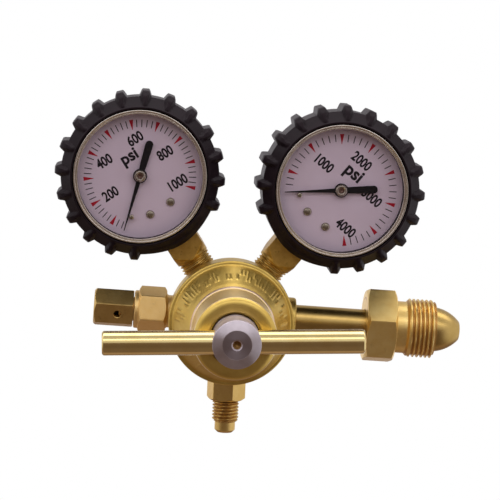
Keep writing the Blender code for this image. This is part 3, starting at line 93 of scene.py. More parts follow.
AXIS_FRAME = turn(90.0, "X")
INLET_FRAME = port_frame(90.0)
OUTLET_CLOCK = 178.0
OUTLET_FRAME = port_frame(OUTLET_CLOCK)
RELIEF_FRAME = port_frame(270.0)
GAUGES = {"delivery": -GAUGE_SPREAD, "cylinder": GAUGE_SPREAD}
dial_centres = [gauge_frame(clock).translation / MM for clock in GAUGES.values()]
print("dial centres in mm:", [[round(value, 1) for value in centre] for centre in dial_centres])

# %% [markdown]
# ## Camera
#
# A product photograph is taken with a long lens from a little above, so that round faces stay
# round and their depth still shows. The camera is placed by the direction it looks from and
# its distance to the plane of the ports, and then it is turned so that this plane's centre
# falls where the photograph has it, below and left of the middle.

# %% Camera
IMAGE_SIZE = 500.0
FOCAL_PIXELS = 2126.7
SENSOR_WIDTH = 36.0
CAMERA_DISTANCE = 890.9
CAMERA_LEFT = math.radians(2.897)
CAMERA_ABOVE = math.radians(8.386)
CAMERA_ROLL = 4.393
AIM_RIGHT = 6.62
AIM_UP = 27.95


def make_camera():
    """Camera at the photograph's viewing angle."""
    centre = Vector((0.0, -PORT_STATION * MM, 0.0))
    away = Vector((-math.sin(CAMERA_LEFT) * math.cos(CAMERA_ABOVE),
                   -math.cos(CAMERA_LEFT) * math.cos(CAMERA_ABOVE),
                   math.sin(CAMERA_ABOVE)))
    right = (-away).cross(Vector((0.0, 0.0, 1.0))).normalized()
    up = right.cross(-away)
    place = centre + away * CAMERA_DISTANCE * MM
    target = centre + (right * AIM_RIGHT + up * AIM_UP) * MM
    lens = bpy.data.cameras.new("camera")
    lens.sensor_width = SENSOR_WIDTH
    lens.lens = SENSOR_WIDTH * FOCAL_PIXELS / IMAGE_SIZE
    lens.clip_start = 0.05
    lens.clip_end = 20.0
    camera = bpy.data.objects.new("camera", lens)
    bpy.context.scene.collection.objects.link(camera)
    looking = (target - place).to_track_quat("-Z", "Y").to_matrix().to_4x4()
    camera.matrix_world = Matrix.Translation(place) @ looking @ turn(CAMERA_ROLL)
    bpy.context.scene.camera = camera
    return camera


camera = make_camera()
print("lens in mm:", round(camera.data.lens, 1))

# %% [markdown]
# ## Arithmetic on shader sockets
#
# A finish is mostly arithmetic: a mask times a colour, one minus a wear map. Written node by
# node it fills pages. This small class wraps a socket, so that +, -, * and / add Math nodes,
# and one method adds any other node from its type, its settings and its inputs.

# %% Shader helpers
class Value:
    """An output socket on which plain arithmetic can be done."""

    def __init__(self, tree, socket):
        self.tree = tree
        self.socket = socket

    def maths(self, operation, *terms):
        return self.tree.node("Math", {"operation": operation}, dict(enumerate(terms)))

    def __add__(self, other):
        return self.maths("ADD", self, other)

    def __sub__(self, other):
        return self.maths("SUBTRACT", self, other)

    def __mul__(self, other):
        return self.maths("MULTIPLY", self, other)

    def __truediv__(self, other):
        return self.maths("DIVIDE", self, other)

    def __radd__(self, other):
        return self.maths("ADD", other, self)

    def __rsub__(self, other):
        return self.maths("SUBTRACT", other, self)

    def __rmul__(self, other):
        return self.maths("MULTIPLY", other, self)

    def power(self, exponent):
        return self.maths("POWER", self, exponent)


class Tree:
    """A node tree under construction."""

    def __init__(self, node_tree):
        self.nodes = node_tree.nodes
        self.links = node_tree.links

    def node(self, kind, settings=None, inputs=None, output=0):
        """Add a node, apply its settings, then feed its inputs, and return one output."""
        made = self.nodes.new("ShaderNode" + kind)
        for name, setting in (settings or {}).items():
            if name == "stops":
                self.set_stops(made.color_ramp, setting)
            else:
                setattr(made, name, setting)
        for name, value in (inputs or {}).items():
            self.feed(made.inputs[name], value)
        return Value(self, made.outputs[output])

    def feed(self, socket, value):
        if isinstance(value, Value):
            self.links.new(value.socket, socket)
        else:
            socket.default_value = value

    def set_stops(self, ramp, stops):
        while len(ramp.elements) < len(stops):
            ramp.elements.new(0.5)
        for element, (position, colour) in zip(ramp.elements, stops):
            element.position = position
            element.color = (*colour, 1.0)

    def parts(self, vector):
        """X, Y and Z of a vector."""
        split = self.node("SeparateXYZ", None, {"Vector": vector}).socket.node
        return [Value(self, socket) for socket in split.outputs]

    def place(self):
        """Position on the piece, in its own frame and in millimetres."""
        here = self.node("TexCoord", output=3)
        return self.node("VectorMath", {"operation": "MULTIPLY"}, {0: here, 1: [1.0 / MM] * 3})

    def noise(self, where, scale, detail=3.0, roughness=0.55):
        """Noise between 0 and 1; scale counts features per millimetre."""
        return self.node("TexNoise", None, {"Vector": where, "Scale": scale, "Detail": detail,
                                            "Roughness": roughness})

    def climb(self, value, low, high, top=1.0, kind="LINEAR"):
        """Value that goes from 0 to top while its input goes from low to high."""
        return self.node("MapRange", {"interpolation_type": kind},
                         {"Value": value, "From Min": low, "From Max": high, "To Max": top})

    def ramp(self, value, stops):
        return self.node("ValToRGB", {"stops": stops}, {"Fac": value})

    def mix(self, factor, first, second):
        """Mix of a colour socket and a plain colour."""
        return self.node("Mix", {"data_type": "RGBA"}, {0: factor, 6: first, 7: (*second, 1.0)}, output=2)

    def bump(self, height, distance, under=None):
        """Bump whose height of 1 stands a distance in millimetres, on top of another bump."""
        inputs = {"Height": height, "Distance": distance * MM}
        if under:
            inputs["Normal"] = under
        return self.node("Bump", None, inputs)


def new_finish(name):
    """A material with its tree and its Principled shader, ready to be fed."""
    material = bpy.data.materials.new(name)
    material.use_nodes = True
    tree = Tree(material.node_tree)
    return material, tree, material.node_tree.nodes["Principled BSDF"]


def rgb(red, green, blue):
    """Colour on an sRGB screen, from 0 to 255, as the linear values that Blender uses."""
    shares = [value / 255.0 for value in (red, green, blue)]
    return [share / 12.92 if share < 0.04045 else ((share + 0.055) / 1.055) ** 2.4 for share in shares]


print("shader helpers ready")

# %% [markdown]
# ## Studio
#
# Polished brass shows its surroundings more than its own colour, so the studio is drawn as
# one ramp over the angle around the X axis. A very bright box hangs overhead, a second one
# stands in front above the camera, white paper closes the back, and a patch of table shows
# from straight below. Between them the room is dark and warm. That gives the tee bar its
# white band on top, its golden middle and its brown underside. The camera sees plain white,
# and the pale floor lies well below, out of view.

# %% Studio
LIGHT_PEAK = 2.6
LAMP = (1.0, 0.955, 0.99)
ROOM = (1.0, 0.70, 0.57)
SIDE_LEVEL = 0.80
SIDE_START = 0.62
SIDE_END = 0.98
SIDE_LEAN = 0.1
FLOOR_HEIGHT = -0.26
FLOOR_RADIUS = 0.55
# Angle around X in degrees, from 0 in front to 90 overhead, the light there and its level
STUDIO = (
    (-180.0, LAMP, 0.95), (-157.0, LAMP, 0.95), (-151.0, ROOM, 0.24),
    (-120.0, ROOM, 0.26), (-110.0, ROOM, 0.36), (-97.0, ROOM, 0.36),
    (-86.0, ROOM, 0.17), (-54.0, ROOM, 0.17), (-26.0, ROOM, 0.14),
    (-2.0, ROOM, 0.15), (9.0, ROOM, 0.20), (16.0, LAMP, 0.70),
    (34.0, LAMP, 0.76), (37.0, LAMP, 2.20), (46.0, LAMP, 2.20),
    (49.0, LAMP, 0.60), (82.0, LAMP, 0.50), (87.0, LAMP, 2.60),
    (110.0, LAMP, 2.60), (114.0, LAMP, 0.54), (154.0, LAMP, 0.50),
    (168.0, LAMP, 0.70), (180.0, LAMP, 0.95),
)


def light(tint, level):
    """Colour on the studio ramp: 1 is paper white in a level, LIGHT_PEAK the ramp's own white."""
    return [level * share / LIGHT_PEAK for share in tint]


def make_world():
    """Sky of the studio: brightness by direction, plain white for the camera."""
    world = bpy.data.worlds.new("studio")
    world.use_nodes = True
    world.node_tree.nodes.clear()
    bpy.context.scene.world = world
    tree = Tree(world.node_tree)
    across, depth, height = tree.parts(tree.node("TexCoord", output=0))
    # Angle around X as a share of a turn: 0.5 is straight ahead of the object, 0.75 is overhead
    share = height.maths("ARCTAN2", height, 0.0 - depth) / (2.0 * math.pi) + 0.5
    around = tree.ramp(share, [(angle / 360.0 + 0.5, light(tint, level)) for angle, tint, level in STUDIO])
    aside = across.maths("ABSOLUTE", across + SIDE_LEAN)
    sideways = tree.climb(aside, SIDE_START, SIDE_END, kind="SMOOTHSTEP")
    colour = tree.mix(sideways, around, light(LAMP, SIDE_LEVEL))
    glow = tree.node("Background", None, {"Color": colour, "Strength": LIGHT_PEAK})
    paper = tree.node("Background", None, {"Color": (1.0, 1.0, 1.0, 1.0), "Strength": 1.0})
    seen = tree.node("LightPath", output=0)
    chosen = tree.node("MixShader", None, {0: seen, 1: glow, 2: paper})
    output = world.node_tree.nodes.new("ShaderNodeOutputWorld")
    tree.feed(output.inputs["Surface"], chosen)


def make_floor():
    """Pale round floor under the object."""
    floor = bmesh.new()
    bmesh.ops.create_circle(floor, cap_ends=True, segments=96, radius=FLOOR_RADIUS)
    mesh = bpy.data.meshes.new("floor")
    floor.to_mesh(mesh)
    floor.free()
    piece = bpy.data.objects.new("floor", mesh)
    piece.location.z = FLOOR_HEIGHT
    bpy.context.scene.collection.objects.link(piece)
    material, tree, shader = new_finish("floor_paper")
    fibres = tree.noise(tree.place(), 0.05)
    paper = tree.ramp(fibres, [(0.3, rgb(235, 235, 236)), (0.7, rgb(243, 243, 243))])
    tree.feed(shader.inputs["Base Color"], paper)
    shader.inputs["Roughness"].default_value = 0.9
    mesh.materials.append(material)
    piece.visible_glossy = False
    piece.visible_diffuse = False


bpy.context.scene.view_settings.view_transform = "Standard"
make_world()
make_floor()
print("studio lit, floor at", FLOOR_HEIGHT)

# %% [markdown]
# ## Metal finishes
#
# Each metal here has the same three things in other amounts: a colour that drifts where the
# surface has tarnished, a grain that blurs what it reflects, and marks of the tool that made
# it. Forgings have a fine pebble all over, turned pieces have rings around their axis, and
# milled flats show almost nothing. One function takes those amounts, so that the metals of
# the regulator differ only in their numbers.

# %% Metal finishes
DRIFT_SCALE = 0.12
STAIN_SCALE = 0.35
SMEAR_SCALE = 0.5
PEBBLE_SCALE = 2.6
ZONE_EDGE = 0.12
FINISHES = {}


def around_axis(tree):
    """Radius on the piece, and a place that only changes with radius and height."""
    across, up, height = tree.parts(tree.place())
    radius = (across * across + up * up).power(0.5)
    return radius, tree.node("CombineXYZ", None, {"X": radius, "Z": height})


def metal(name, light_tone, dark_tone, roughness, spread, pebble=0.0, rings=0.0, ring_scale=3.0,
          stains=0.0, stain_tone=(60, 42, 18), stretch=0.0, zones=(), metallic=1.0):
    """A metal whose colour drifts between two tones; pebble and rings are heights in mm.

    A zone is an inner radius, an outer radius and the colour between them.
    """
    material, tree, shader = new_finish(name)
    here = tree.place()
    drift = tree.noise(here, DRIFT_SCALE, 5.0, 0.6)
    colour = tree.ramp(drift, [(0.32, rgb(*dark_tone)), (0.68, rgb(*light_tone))])
    if stains:
        spots = tree.noise(here, STAIN_SCALE, 6.0, 0.7)
        colour = tree.mix(tree.climb(spots, 0.60, 0.72, stains), colour, rgb(*stain_tone))
    radius, rounds = around_axis(tree) if rings or zones else (None, None)
    for inner, outer, tone in zones:
        past_inner = tree.climb(radius, inner - ZONE_EDGE, inner)
        before_outer = tree.climb(radius, outer + ZONE_EDGE, outer)
        colour = tree.mix(past_inner * before_outer, colour, rgb(*tone))
    tree.feed(shader.inputs["Base Color"], colour)
    shader.inputs["Metallic"].default_value = metallic
    # Grooves that run round the axis blur a reflection across them, a quarter turn from the grooves
    shader.inputs["Anisotropic"].default_value = stretch
    shader.inputs["Anisotropic Rotation"].default_value = 0.25 if stretch else 0.0
    smear = tree.noise(here, SMEAR_SCALE, 4.0, 0.6)
    tree.feed(shader.inputs["Roughness"], smear * (2.0 * spread) + (roughness - spread))
    normal = tree.bump(tree.noise(here, PEBBLE_SCALE, 4.0, 0.65), pebble) if pebble else None
    if rings:
        normal = tree.bump(tree.noise(rounds, ring_scale, 2.0, 0.6), rings, normal)
    if normal:
        tree.feed(shader.inputs["Normal"], normal)
    FINISHES[name] = material


metal("forged_brass", (226, 196, 110), (205, 172, 88), 0.42, 0.07, pebble=0.020, rings=0.010,
      ring_scale=1.2)
# The two zones are painted highlights: a pale band on the boss wall and a pinkish-white line on the bead.
metal("bonnet_brass", (230, 200, 110), (212, 180, 92), 0.40, 0.05, pebble=0.016, rings=0.008,
      ring_scale=1.6, zones=((16.3, 16.7, (246, 222, 164)), (16.8, 17.15, (255, 228, 206))))
metal("turned_brass", (208, 178, 108), (190, 160, 90), 0.30, 0.06, rings=0.008)
metal("bar_brass", (243, 224, 160), (236, 212, 142), 0.15, 0.04, pebble=0.002, rings=0.002, ring_scale=1.0)
metal("hex_brass", (232, 200, 124), (214, 178, 100), 0.40, 0.08, pebble=0.008, stains=0.2,
      stain_tone=(120, 88, 48), zones=((4.5, 5.1, (186, 146, 84)),))
# A lighter copy of the turned brass: the nut's colour is painted brighter all over to stand for the light
# that falls on it.
metal("nut_brass_painted_light", (252, 224, 146), (240, 204, 120), 0.36, 0.10, pebble=0.010, stains=0.2,
      stain_tone=(120, 88, 48), zones=((11.0, 11.7, (206, 164, 96)),), metallic=0.86)
metal("dark_brass", (218, 184, 104), (170, 136, 70), 0.40, 0.09, pebble=0.012, stains=0.4)
metal("relief_brass", (254, 222, 152), (242, 202, 124), 0.44, 0.08, pebble=0.010, stains=0.2,
      stain_tone=(150, 110, 68), metallic=0.8)
metal("pale_brass", (240, 206, 140), (224, 186, 116), 0.36, 0.08, pebble=0.010)
metal("cap_brass", (226, 194, 122), (200, 166, 96), 0.40, 0.06, pebble=0.010, stains=0.3)
# The first zone colours the inner part of the centre hole a darker copper brown; the second is painted shade,
# a darker grey on the flat nose for the dark room that it reflects.
metal("screw_steel", (222, 214, 220), (198, 190, 196), 0.33, 0.06, rings=0.018, ring_scale=5.0,
      stretch=0.85, zones=((-1.0, 1.6, (146, 112, 66)), (2.15, 5.55, (168, 158, 164))))
metal("turned_steel", (196, 190, 194), (170, 163, 168), 0.26, 0.06, rings=0.010, ring_scale=5.0)
metal("plated_steel", (206, 198, 180), (172, 162, 144), 0.26, 0.05, pebble=0.004)
metal("hub_steel", (214, 206, 194), (186, 176, 164), 0.24, 0.05, pebble=0.004,
      zones=((-1.0, 1.15, (150, 122, 112)),))
metal("spring_steel", (150, 148, 146), (118, 116, 114), 0.32, 0.06, pebble=0.006)
metal("case_steel", (66, 64, 64), (44, 43, 44), 0.42, 0.08, pebble=0.006)
metal("bezel_steel", (230, 222, 210), (206, 198, 186), 0.26, 0.04, pebble=0.002)
metal("sintered_bronze", (150, 112, 62), (104, 74, 38), 0.62, 0.10, pebble=0.09)
print("metals:", len(FINISHES))

# %% [markdown]
# ## Rubber, dial, print and lens
#
# The boots are moulded rubber: nearly black, with a dull bloom where hands have rubbed it.
# The dial is white enamel on tin, its print is ink a few hundredths of a millimetre thick,
# and the lens is clear plastic that only shows where it reflects.

# %% Other finishes
GLOSS_CHANGE = 0.06


def plain(name, light_tone, dark_tone, roughness, scale, height, shine=0.5):
    """A dull finish: two tones, a soft change in gloss and a fine surface."""
    material, tree, shader = new_finish(name)
    here = tree.place()
    drift = tree.noise(here, scale, 4.0, 0.6)
    colour = tree.ramp(drift, [(0.3, rgb(*dark_tone)), (0.7, rgb(*light_tone))])
    tree.feed(shader.inputs["Base Color"], colour)
    tree.feed(shader.inputs["Roughness"], drift * (2.0 * GLOSS_CHANGE) + (roughness - GLOSS_CHANGE))
    shader.inputs["Specular IOR Level"].default_value = shine
    if height:
        tree.feed(shader.inputs["Normal"], tree.bump(tree.noise(here, scale * 8.0), height))
    FINISHES[name] = material


def clear(name):
    """Clear plastic: it lets the dial through and keeps a faint reflection."""
    material, tree, shader = new_finish(name)
    dust = tree.noise(tree.place(), 0.3)
    tree.feed(shader.inputs["Base Color"], tree.ramp(dust, [(0.3, rgb(26, 26, 28)), (0.7, rgb(34, 34, 36))]))
    tree.feed(shader.inputs["Roughness"], dust * 0.04 + 0.04)
    tree.feed(shader.inputs["Alpha"], dust * 0.02 + 0.05)
    shader.inputs["Specular IOR Level"].default_value = 0.6
    FINISHES[name] = material


plain("black_rubber", (36, 26, 31), (27, 19, 23), 0.40, 0.25, 0.02, shine=0.10)
plain("dial_white", (238, 220, 237), (233, 214, 231), 0.55, 0.10, 0.0, shine=0.2)
plain("pointer_black", (24, 21, 24), (17, 15, 17), 0.50, 0.3, 0.004, shine=0.25)
plain("dial_black", (44, 38, 44), (32, 28, 34), 0.6, 1.0, 0.0, shine=0.2)
plain("dial_red", (200, 40, 60), (184, 30, 50), 0.55, 1.0, 0.0, shine=0.2)
plain("diaphragm_rubber", (58, 50, 46), (44, 38, 35), 0.7, 0.4, 0.03)
plain("seat_plastic", (222, 218, 206), (208, 203, 190), 0.5, 0.4, 0.006)
clear("clear_lens")
print("all finishes:", len(FINISHES))

# %% [markdown]
# ## Turning in mesh code
#
# Nearly every piece here comes off a lathe, so the main tool is a lathe: it takes an outline
# of radius and height in millimetres, rounds the corners that ask for it and spins it. A form
# is a function that then reshapes the spun surface, as a mill, a die or a mould would: it
# gets the angle, radius and height of every point and returns new ones. Hexagons, threads and
# the ribs of the boots are all forms, which is quicker and cleaner than cutting meshes.

# %% Turning
ROUNDING_STEPS = 5
ROUNDING_REACH = 0.48
SMOOTH_ANGLE = math.radians(32.0)
NOTHING = 1e-6


def eased(outline):
    """Outline as points, with an arc at each corner that names a rounding radius."""
    points = []
    count = len(outline)
    for index, entry in enumerate(outline):
        corner = np.array(entry[:2], float)
        rounding = entry[2] if len(entry) > 2 else 0.0
        to_before = np.array(outline[index - 1][:2], float) - corner
        to_after = np.array(outline[(index + 1) % count][:2], float) - corner
        before_length = np.hypot(*to_before)
        after_length = np.hypot(*to_after)
        if rounding <= 0.0 or min(before_length, after_length) < NOTHING:
            points.append(corner)
            continue
        to_before /= before_length
        to_after /= after_length
        half = math.acos(max(-1.0, min(1.0, float(to_before @ to_after)))) / 2.0
        # Neighbouring arcs share an edge, so neither may take as much as half of it
        reach = min(rounding / math.tan(half), ROUNDING_REACH * before_length, ROUNDING_REACH * after_length)
        radius = reach * math.tan(half)
        middle = to_before + to_after
        centre = corner + middle / np.hypot(*middle) * radius / math.sin(half)
        start = corner + to_before * reach - centre
        end = corner + to_after * reach - centre
        first = math.atan2(start[1], start[0])
        sweep = (math.atan2(end[1], end[0]) - first + math.pi) % (2.0 * math.pi) - math.pi
        for step in range(ROUNDING_STEPS + 1):
            angle = first + sweep * step / ROUNDING_STEPS
            points.append(centre + radius * np.array((math.cos(angle), math.sin(angle))))
    return points


def refined(points, spacing, core, closed):
    """Split the stretches outside the core radius so that no step is longer than spacing."""
    finer = []
    pairs = zip(points, points[1:] + points[:1]) if closed else zip(points, points[1:])
    for start, end in pairs:
        finer.append(start)
        steps = int(np.hypot(*(end - start)) / spacing)
        if min(start[0], end[0]) >= core:
            finer += [start + (end - start) * step / (steps + 1) for step in range(1, steps + 1)]
    return finer if closed else finer + [points[-1]]


def skin(name, rows, closed):
    """Mesh over rows of points, each a full ring or one point on the axis."""
    points = np.concatenate(rows) * MM
    firsts = np.cumsum([0] + [len(row) for row in rows])
    following = list(range(1, len(rows))) + ([0] if closed else [])
    faces = []
    for upper, lower in enumerate(following):
        facets = max(len(rows[upper]), len(rows[lower]))
        here = np.arange(facets)
        after = (here + 1) % facets
        above = firsts[upper]
        below = firsts[lower]
        if len(rows[upper]) == 1:
            corners = [above + 0 * here, below + here, below + after]
        elif len(rows[lower]) == 1:
            corners = [above + here, below + 0 * here, above + after]
        else:
            corners = [above + here, below + here, below + after, above + after]
        faces += np.stack(corners, axis=1).tolist()
    mesh = bpy.data.meshes.new(name)
    mesh.from_pydata(points.tolist(), [], faces)
    mesh.shade_smooth()
    mesh.set_sharp_from_angle(angle=SMOOTH_ANGLE)
    return mesh


def lathe(name, outline, facets, form=None, spacing=None, core=0.0):
    """Mesh turned from an outline that runs down the outer side, reshaped by a form."""
    points = eased(outline)
    closed = points[0][0] > 0.0
    if spacing:
        points = refined(points, spacing, core, closed)
    angle = np.linspace(0.0, 2.0 * math.pi, facets, endpoint=False)
    rows = []
    for radius, height in points:
        if radius < NOTHING:
            rows.append(np.array([[0.0, 0.0, height]]))
            continue
        radii = np.full(facets, radius)
        heights = np.full(facets, height)
        if form:
            radii, heights = form(angle, radii, heights)
        rows.append(np.stack([radii * np.cos(angle), radii * np.sin(angle), heights], axis=1))
    return skin(name, rows, closed)


def dress(mesh, place, finish, slot, *nodes, body="regulator"):
    """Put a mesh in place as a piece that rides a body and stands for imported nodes."""
    piece = bpy.data.objects.new(mesh.name, mesh)
    piece.matrix_world = place
    bpy.context.scene.collection.objects.link(piece)
    mesh.materials.append(FINISHES[finish])
    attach(piece, body)
    if nodes:
        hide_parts(*nodes)
    return piece


def settled(thing):
    """New mesh with the shape that an object has now, its modifiers applied."""
    bpy.context.view_layer.update()
    return bpy.data.meshes.new_from_object(thing.evaluated_get(bpy.context.evaluated_depsgraph_get()))


def faces_of(*pieces):
    """Total number of faces, for the printed record of each step."""
    return sum(len(piece.data.polygons) for piece in pieces)


print("lathe ready")

# %% [markdown]
# ## Forms: bar stock and threads
#
# A hexagon turned from bar keeps the flats where the lathe tool didn't reach, and the 30
# degree chamfer leaves curved edges on each flat. Taking the smaller of the turned radius and
# the hexagon's radius gives both at once. A high power mean rounds the hexagon's corners by a
# tenth of a millimetre, as tumbling does. A thread is a saw-tooth over the height less the
# share of a turn, so it climbs as a helix.

# %% Forms
CORNER_POWER = 90.0
GROOVE_CUT = 1.25
GROOVE_SLOPE = 3.1
PIPE_PITCH = 1.41


def bar_radius(sides, across_flats, margin=1.03):
    """Radius just outside the corners of bar stock, which a bar form then trims."""
    return across_flats / 2.0 / math.cos(math.pi / sides) * margin


def bar_form(sides, across_flats, turned, low, high):
    """Keep a turned piece inside square or hexagon bar between two heights."""
    def form(angle, radius, height):
        spread = np.zeros_like(angle)
        for side in range(sides):
            flat = math.pi / 2.0 + math.radians(turned) + 2.0 * math.pi * side / sides
            spread += np.clip(np.cos(angle - flat), 0.0, None) ** CORNER_POWER
        limit = across_flats / 2.0 / spread ** (1.0 / CORNER_POWER)
        inside = (height >= low) & (height <= high)
        return np.where(inside, np.minimum(radius, limit), radius), height
    return form


def thread_form(pitch, depth, low, high, core, fade=1.0):
    """Cut a right-hand thread of a pitch and depth between two heights, outside a core radius."""
    def form(angle, radius, height):
        share = (height / pitch - angle / (2.0 * math.pi)) % 1.0
        groove = np.clip(GROOVE_CUT - np.abs(share - 0.5) * GROOVE_SLOPE, 0.0, 1.0)
        ends = np.clip(np.minimum(height - low, high - height) / (fade * pitch), 0.0, 1.0)
        cut = depth * groove * ends
        return np.where(radius > core, np.maximum(radius - cut, core), radius), height
    return form


def several(*forms):
    """Apply forms one after another."""
    def form(angle, radius, height):
        for each in forms:
            radius, height = each(angle, radius, height)
        return radius, height
    return form


print("forms ready")

# %% [markdown]
# ## Bonnet
#
# The bonnet is a brass forging: a threaded rim that clamps the diaphragm, a dished flare and a
# round boss around the adjusting spring. The die leaves soft corners and a low bead where the
# boss meets the flare, which catches the light as a thin bright line; that line and the boss
# wall are also painted brighter in the finish, as painted highlights. A ring of raised marks
# runs round the flare. It is made by lifting the surface between two radii, because marks in
# the mesh keep their shape from every side.

# %% Bonnet
NECK_ROOT = 26.2
CHAMBER_RADIUS = 16.5
SKIRT_BORE = 21.6
SKIRT_CEILING = 34.9
RIM_RADIUS = 25.7
RIM_FRONT = 38.5
FLARE_FOOT = 24.2
BOSS_BASE = 53.0
BOSS_BASE_RADIUS = 16.5
BOSS_FRONT_RADIUS = 16.65
SPRING_ROOM_RADIUS = 13.3
SPRING_CEILING = 66.0
MOUTH = 79.0
MOUTH_RADIUS = 10.7
MOUTH_FLOOR = MOUTH - 3.5
SCREW_RADIUS = 9.525
SCREW_BORE = SCREW_RADIUS + 0.3
MARK_COUNT = 96
MARK_LOW = 40.9
MARK_HIGH = 48.4
MARK_LIFT = 0.22
# Share of a lift that goes outward and upward, square to the flare
FLARE_OUT = 0.91
FLARE_UP = 0.41


def flare_marks(angle, radius, height):
    """Raised marks on the flare, some of half length and some left out."""
    middle = (MARK_LOW + MARK_HIGH) / 2.0
    # The digits far behind the point of a large sine serve as dice that fall the same each time
    dice = (np.sin(np.arange(MARK_COUNT) * 12.9898) * 43758.5453) % 1.0
    place = angle / (2.0 * math.pi) * MARK_COUNT
    kind = np.floor(4.0 * dice)[np.floor(place).astype(int) % MARK_COUNT]
    bar = np.clip((0.30 - np.abs(place % 1.0 - 0.5)) * 9.0, 0.0, 1.0) * (kind > 0.0)
    foot = np.where(kind == 1.0, middle - 0.4, MARK_LOW)
    top = np.where(kind == 2.0, middle + 0.4, MARK_HIGH)
    ends = np.clip(np.minimum(height - foot, top - height) / 0.6, 0.0, 1.0)
    rise = MARK_LIFT * bar * ends * (radius > BOSS_BASE_RADIUS + 1.0)
    return radius + rise * FLARE_OUT, height + rise * FLARE_UP


def make_bonnet():
    outline = [
        (MOUTH_RADIUS, MOUTH, 0.35), (BOSS_FRONT_RADIUS, MOUTH, 3.3),
        (BOSS_BASE_RADIUS, BOSS_BASE + 1.0, 0.2), (BOSS_BASE_RADIUS + 0.35, BOSS_BASE + 0.75, 0.2),
        (BOSS_BASE_RADIUS + 0.55, BOSS_BASE + 0.2, 0.2),
        (BOSS_BASE_RADIUS + 0.7, BOSS_BASE - 0.55, 0.3),
        (BOSS_BASE_RADIUS + 1.7, BOSS_BASE - 2.3, 1.2), (FLARE_FOOT, RIM_FRONT + 0.1, 0.7),
        (RIM_RADIUS, RIM_FRONT, 1.1), (RIM_RADIUS, NECK_ROOT + 0.3, 0.5),
        (SKIRT_BORE, NECK_ROOT + 0.3, 0.2), (SKIRT_BORE, SKIRT_CEILING),
        (CHAMBER_RADIUS, SKIRT_CEILING), (CHAMBER_RADIUS, RIM_FRONT),
        (SPRING_ROOM_RADIUS, RIM_FRONT + 3.0), (SPRING_ROOM_RADIUS, SPRING_CEILING),
        (SCREW_BORE, SPRING_CEILING), (SCREW_BORE, MOUTH_FLOOR), (MOUTH_RADIUS, MOUTH_FLOOR),
    ]
    mesh = lathe("bonnet_shell", outline, 384, flare_marks, spacing=0.42, core=15.0)
    return dress(mesh, AXIS_FRAME, "bonnet_brass", "forged_brass", "bonnet")


bonnet = make_bonnet()
print("bonnet faces:", faces_of(bonnet))

# %% [markdown]
# ## Valve body
#
# The body is one forging: a drum with bosses for the inlet and the outlet. Forged shapes flow
# into each other, which is hard to draw as turned solids, so the drum and the bosses are
# turned apart, joined by a voxel remesh, and smoothed until the joints between them soften
# as they do where metal filled a die.

# %% Valve body
DRUM_RADIUS = 22.5
DRUM_BACK = 6.0
CHAMBER_FLOOR = 24.2
NECK_RADIUS = 21.3
NECK_END = 32.5
POCKET_RADIUS = 6.0
POCKET_FLOOR = 4.5
PORT_BOSS_RADIUS = 9.3
PORT_BOSS_ROOT = 16.2
# Clock angle and face of each boss
PORT_BOSSES = ((90.0, 27.5), (OUTLET_CLOCK, 24.0))
FORGING_VOXEL = 0.45
SOFTENING_ROUNDS = 7


def make_valve_body():
    drum = lathe("valve_body_forging", [
        (0.0, POCKET_FLOOR), (POCKET_RADIUS, POCKET_FLOOR), (POCKET_RADIUS, CHAMBER_FLOOR),
        (CHAMBER_RADIUS, CHAMBER_FLOOR), (CHAMBER_RADIUS, NECK_END), (NECK_RADIUS, NECK_END),
        (NECK_RADIUS, NECK_ROOT), (DRUM_RADIUS, NECK_ROOT, 0.4), (DRUM_RADIUS, DRUM_BACK, 2.4),
        (14.6, DRUM_BACK, 2.6), (14.0, 0.0, 0.7), (0.0, 0.0),
    ], 160)
    drum.transform(AXIS_FRAME)
    merged = bmesh.new()
    merged.from_mesh(drum)
    for clock, face in PORT_BOSSES:
        boss = lathe("boss", [(0.0, face), (PORT_BOSS_RADIUS, face, 0.8), (PORT_BOSS_RADIUS, PORT_BOSS_ROOT),
                              (0.0, PORT_BOSS_ROOT)], 96)
        boss.transform(port_frame(clock))
        merged.from_mesh(boss)
    merged.to_mesh(drum)
    merged.free()
    piece = dress(drum, Matrix.Identity(4), "forged_brass", "forged_brass", "valve_body")
    remesh = piece.modifiers.new("forging", "REMESH")
    remesh.mode = "VOXEL"
    remesh.voxel_size = FORGING_VOXEL * MM
    remesh.use_smooth_shade = True
    soften = piece.modifiers.new("soften", "SMOOTH")
    soften.factor = 0.5
    soften.iterations = SOFTENING_ROUNDS
    forging = settled(piece)
    piece.modifiers.clear()
    piece.data = forging
    return piece


valve_body = make_valve_body()
print("valve body faces:", faces_of(valve_body))

# %% [markdown]
# ## Adjusting screw and tee bar
#
# The screw is turned steel with a 45 degree chamfer, a flat nose and the small centre hole
# that the lathe held it by; the inner part of the hole is coloured a darker copper brown, and
# the flat nose is painted a darker grey as painted shade, for the dark room that it reflects.
# The tee bar is plain brass rod pushed through the screw, with tumbled ends. The screw gets
# its real thread, which shows in the mouth of the bonnet when the bar is turned outward.

# %% Adjusting screw
SCREW_TIP = 93.5
SCREW_END = 58.06
SCREW_PITCH = 1.5875
SCREW_CORE = 8.2
SCREW_THREAD_END = SCREW_TIP - 13.2
SCREW_THREAD_DEPTH = 0.85
BAR_STATION = 85.9
BAR_RADIUS = 4.7625
BAR_HALF = 50.8
BAR_OFFSET = -1.0
BAR_TURN = 4.3


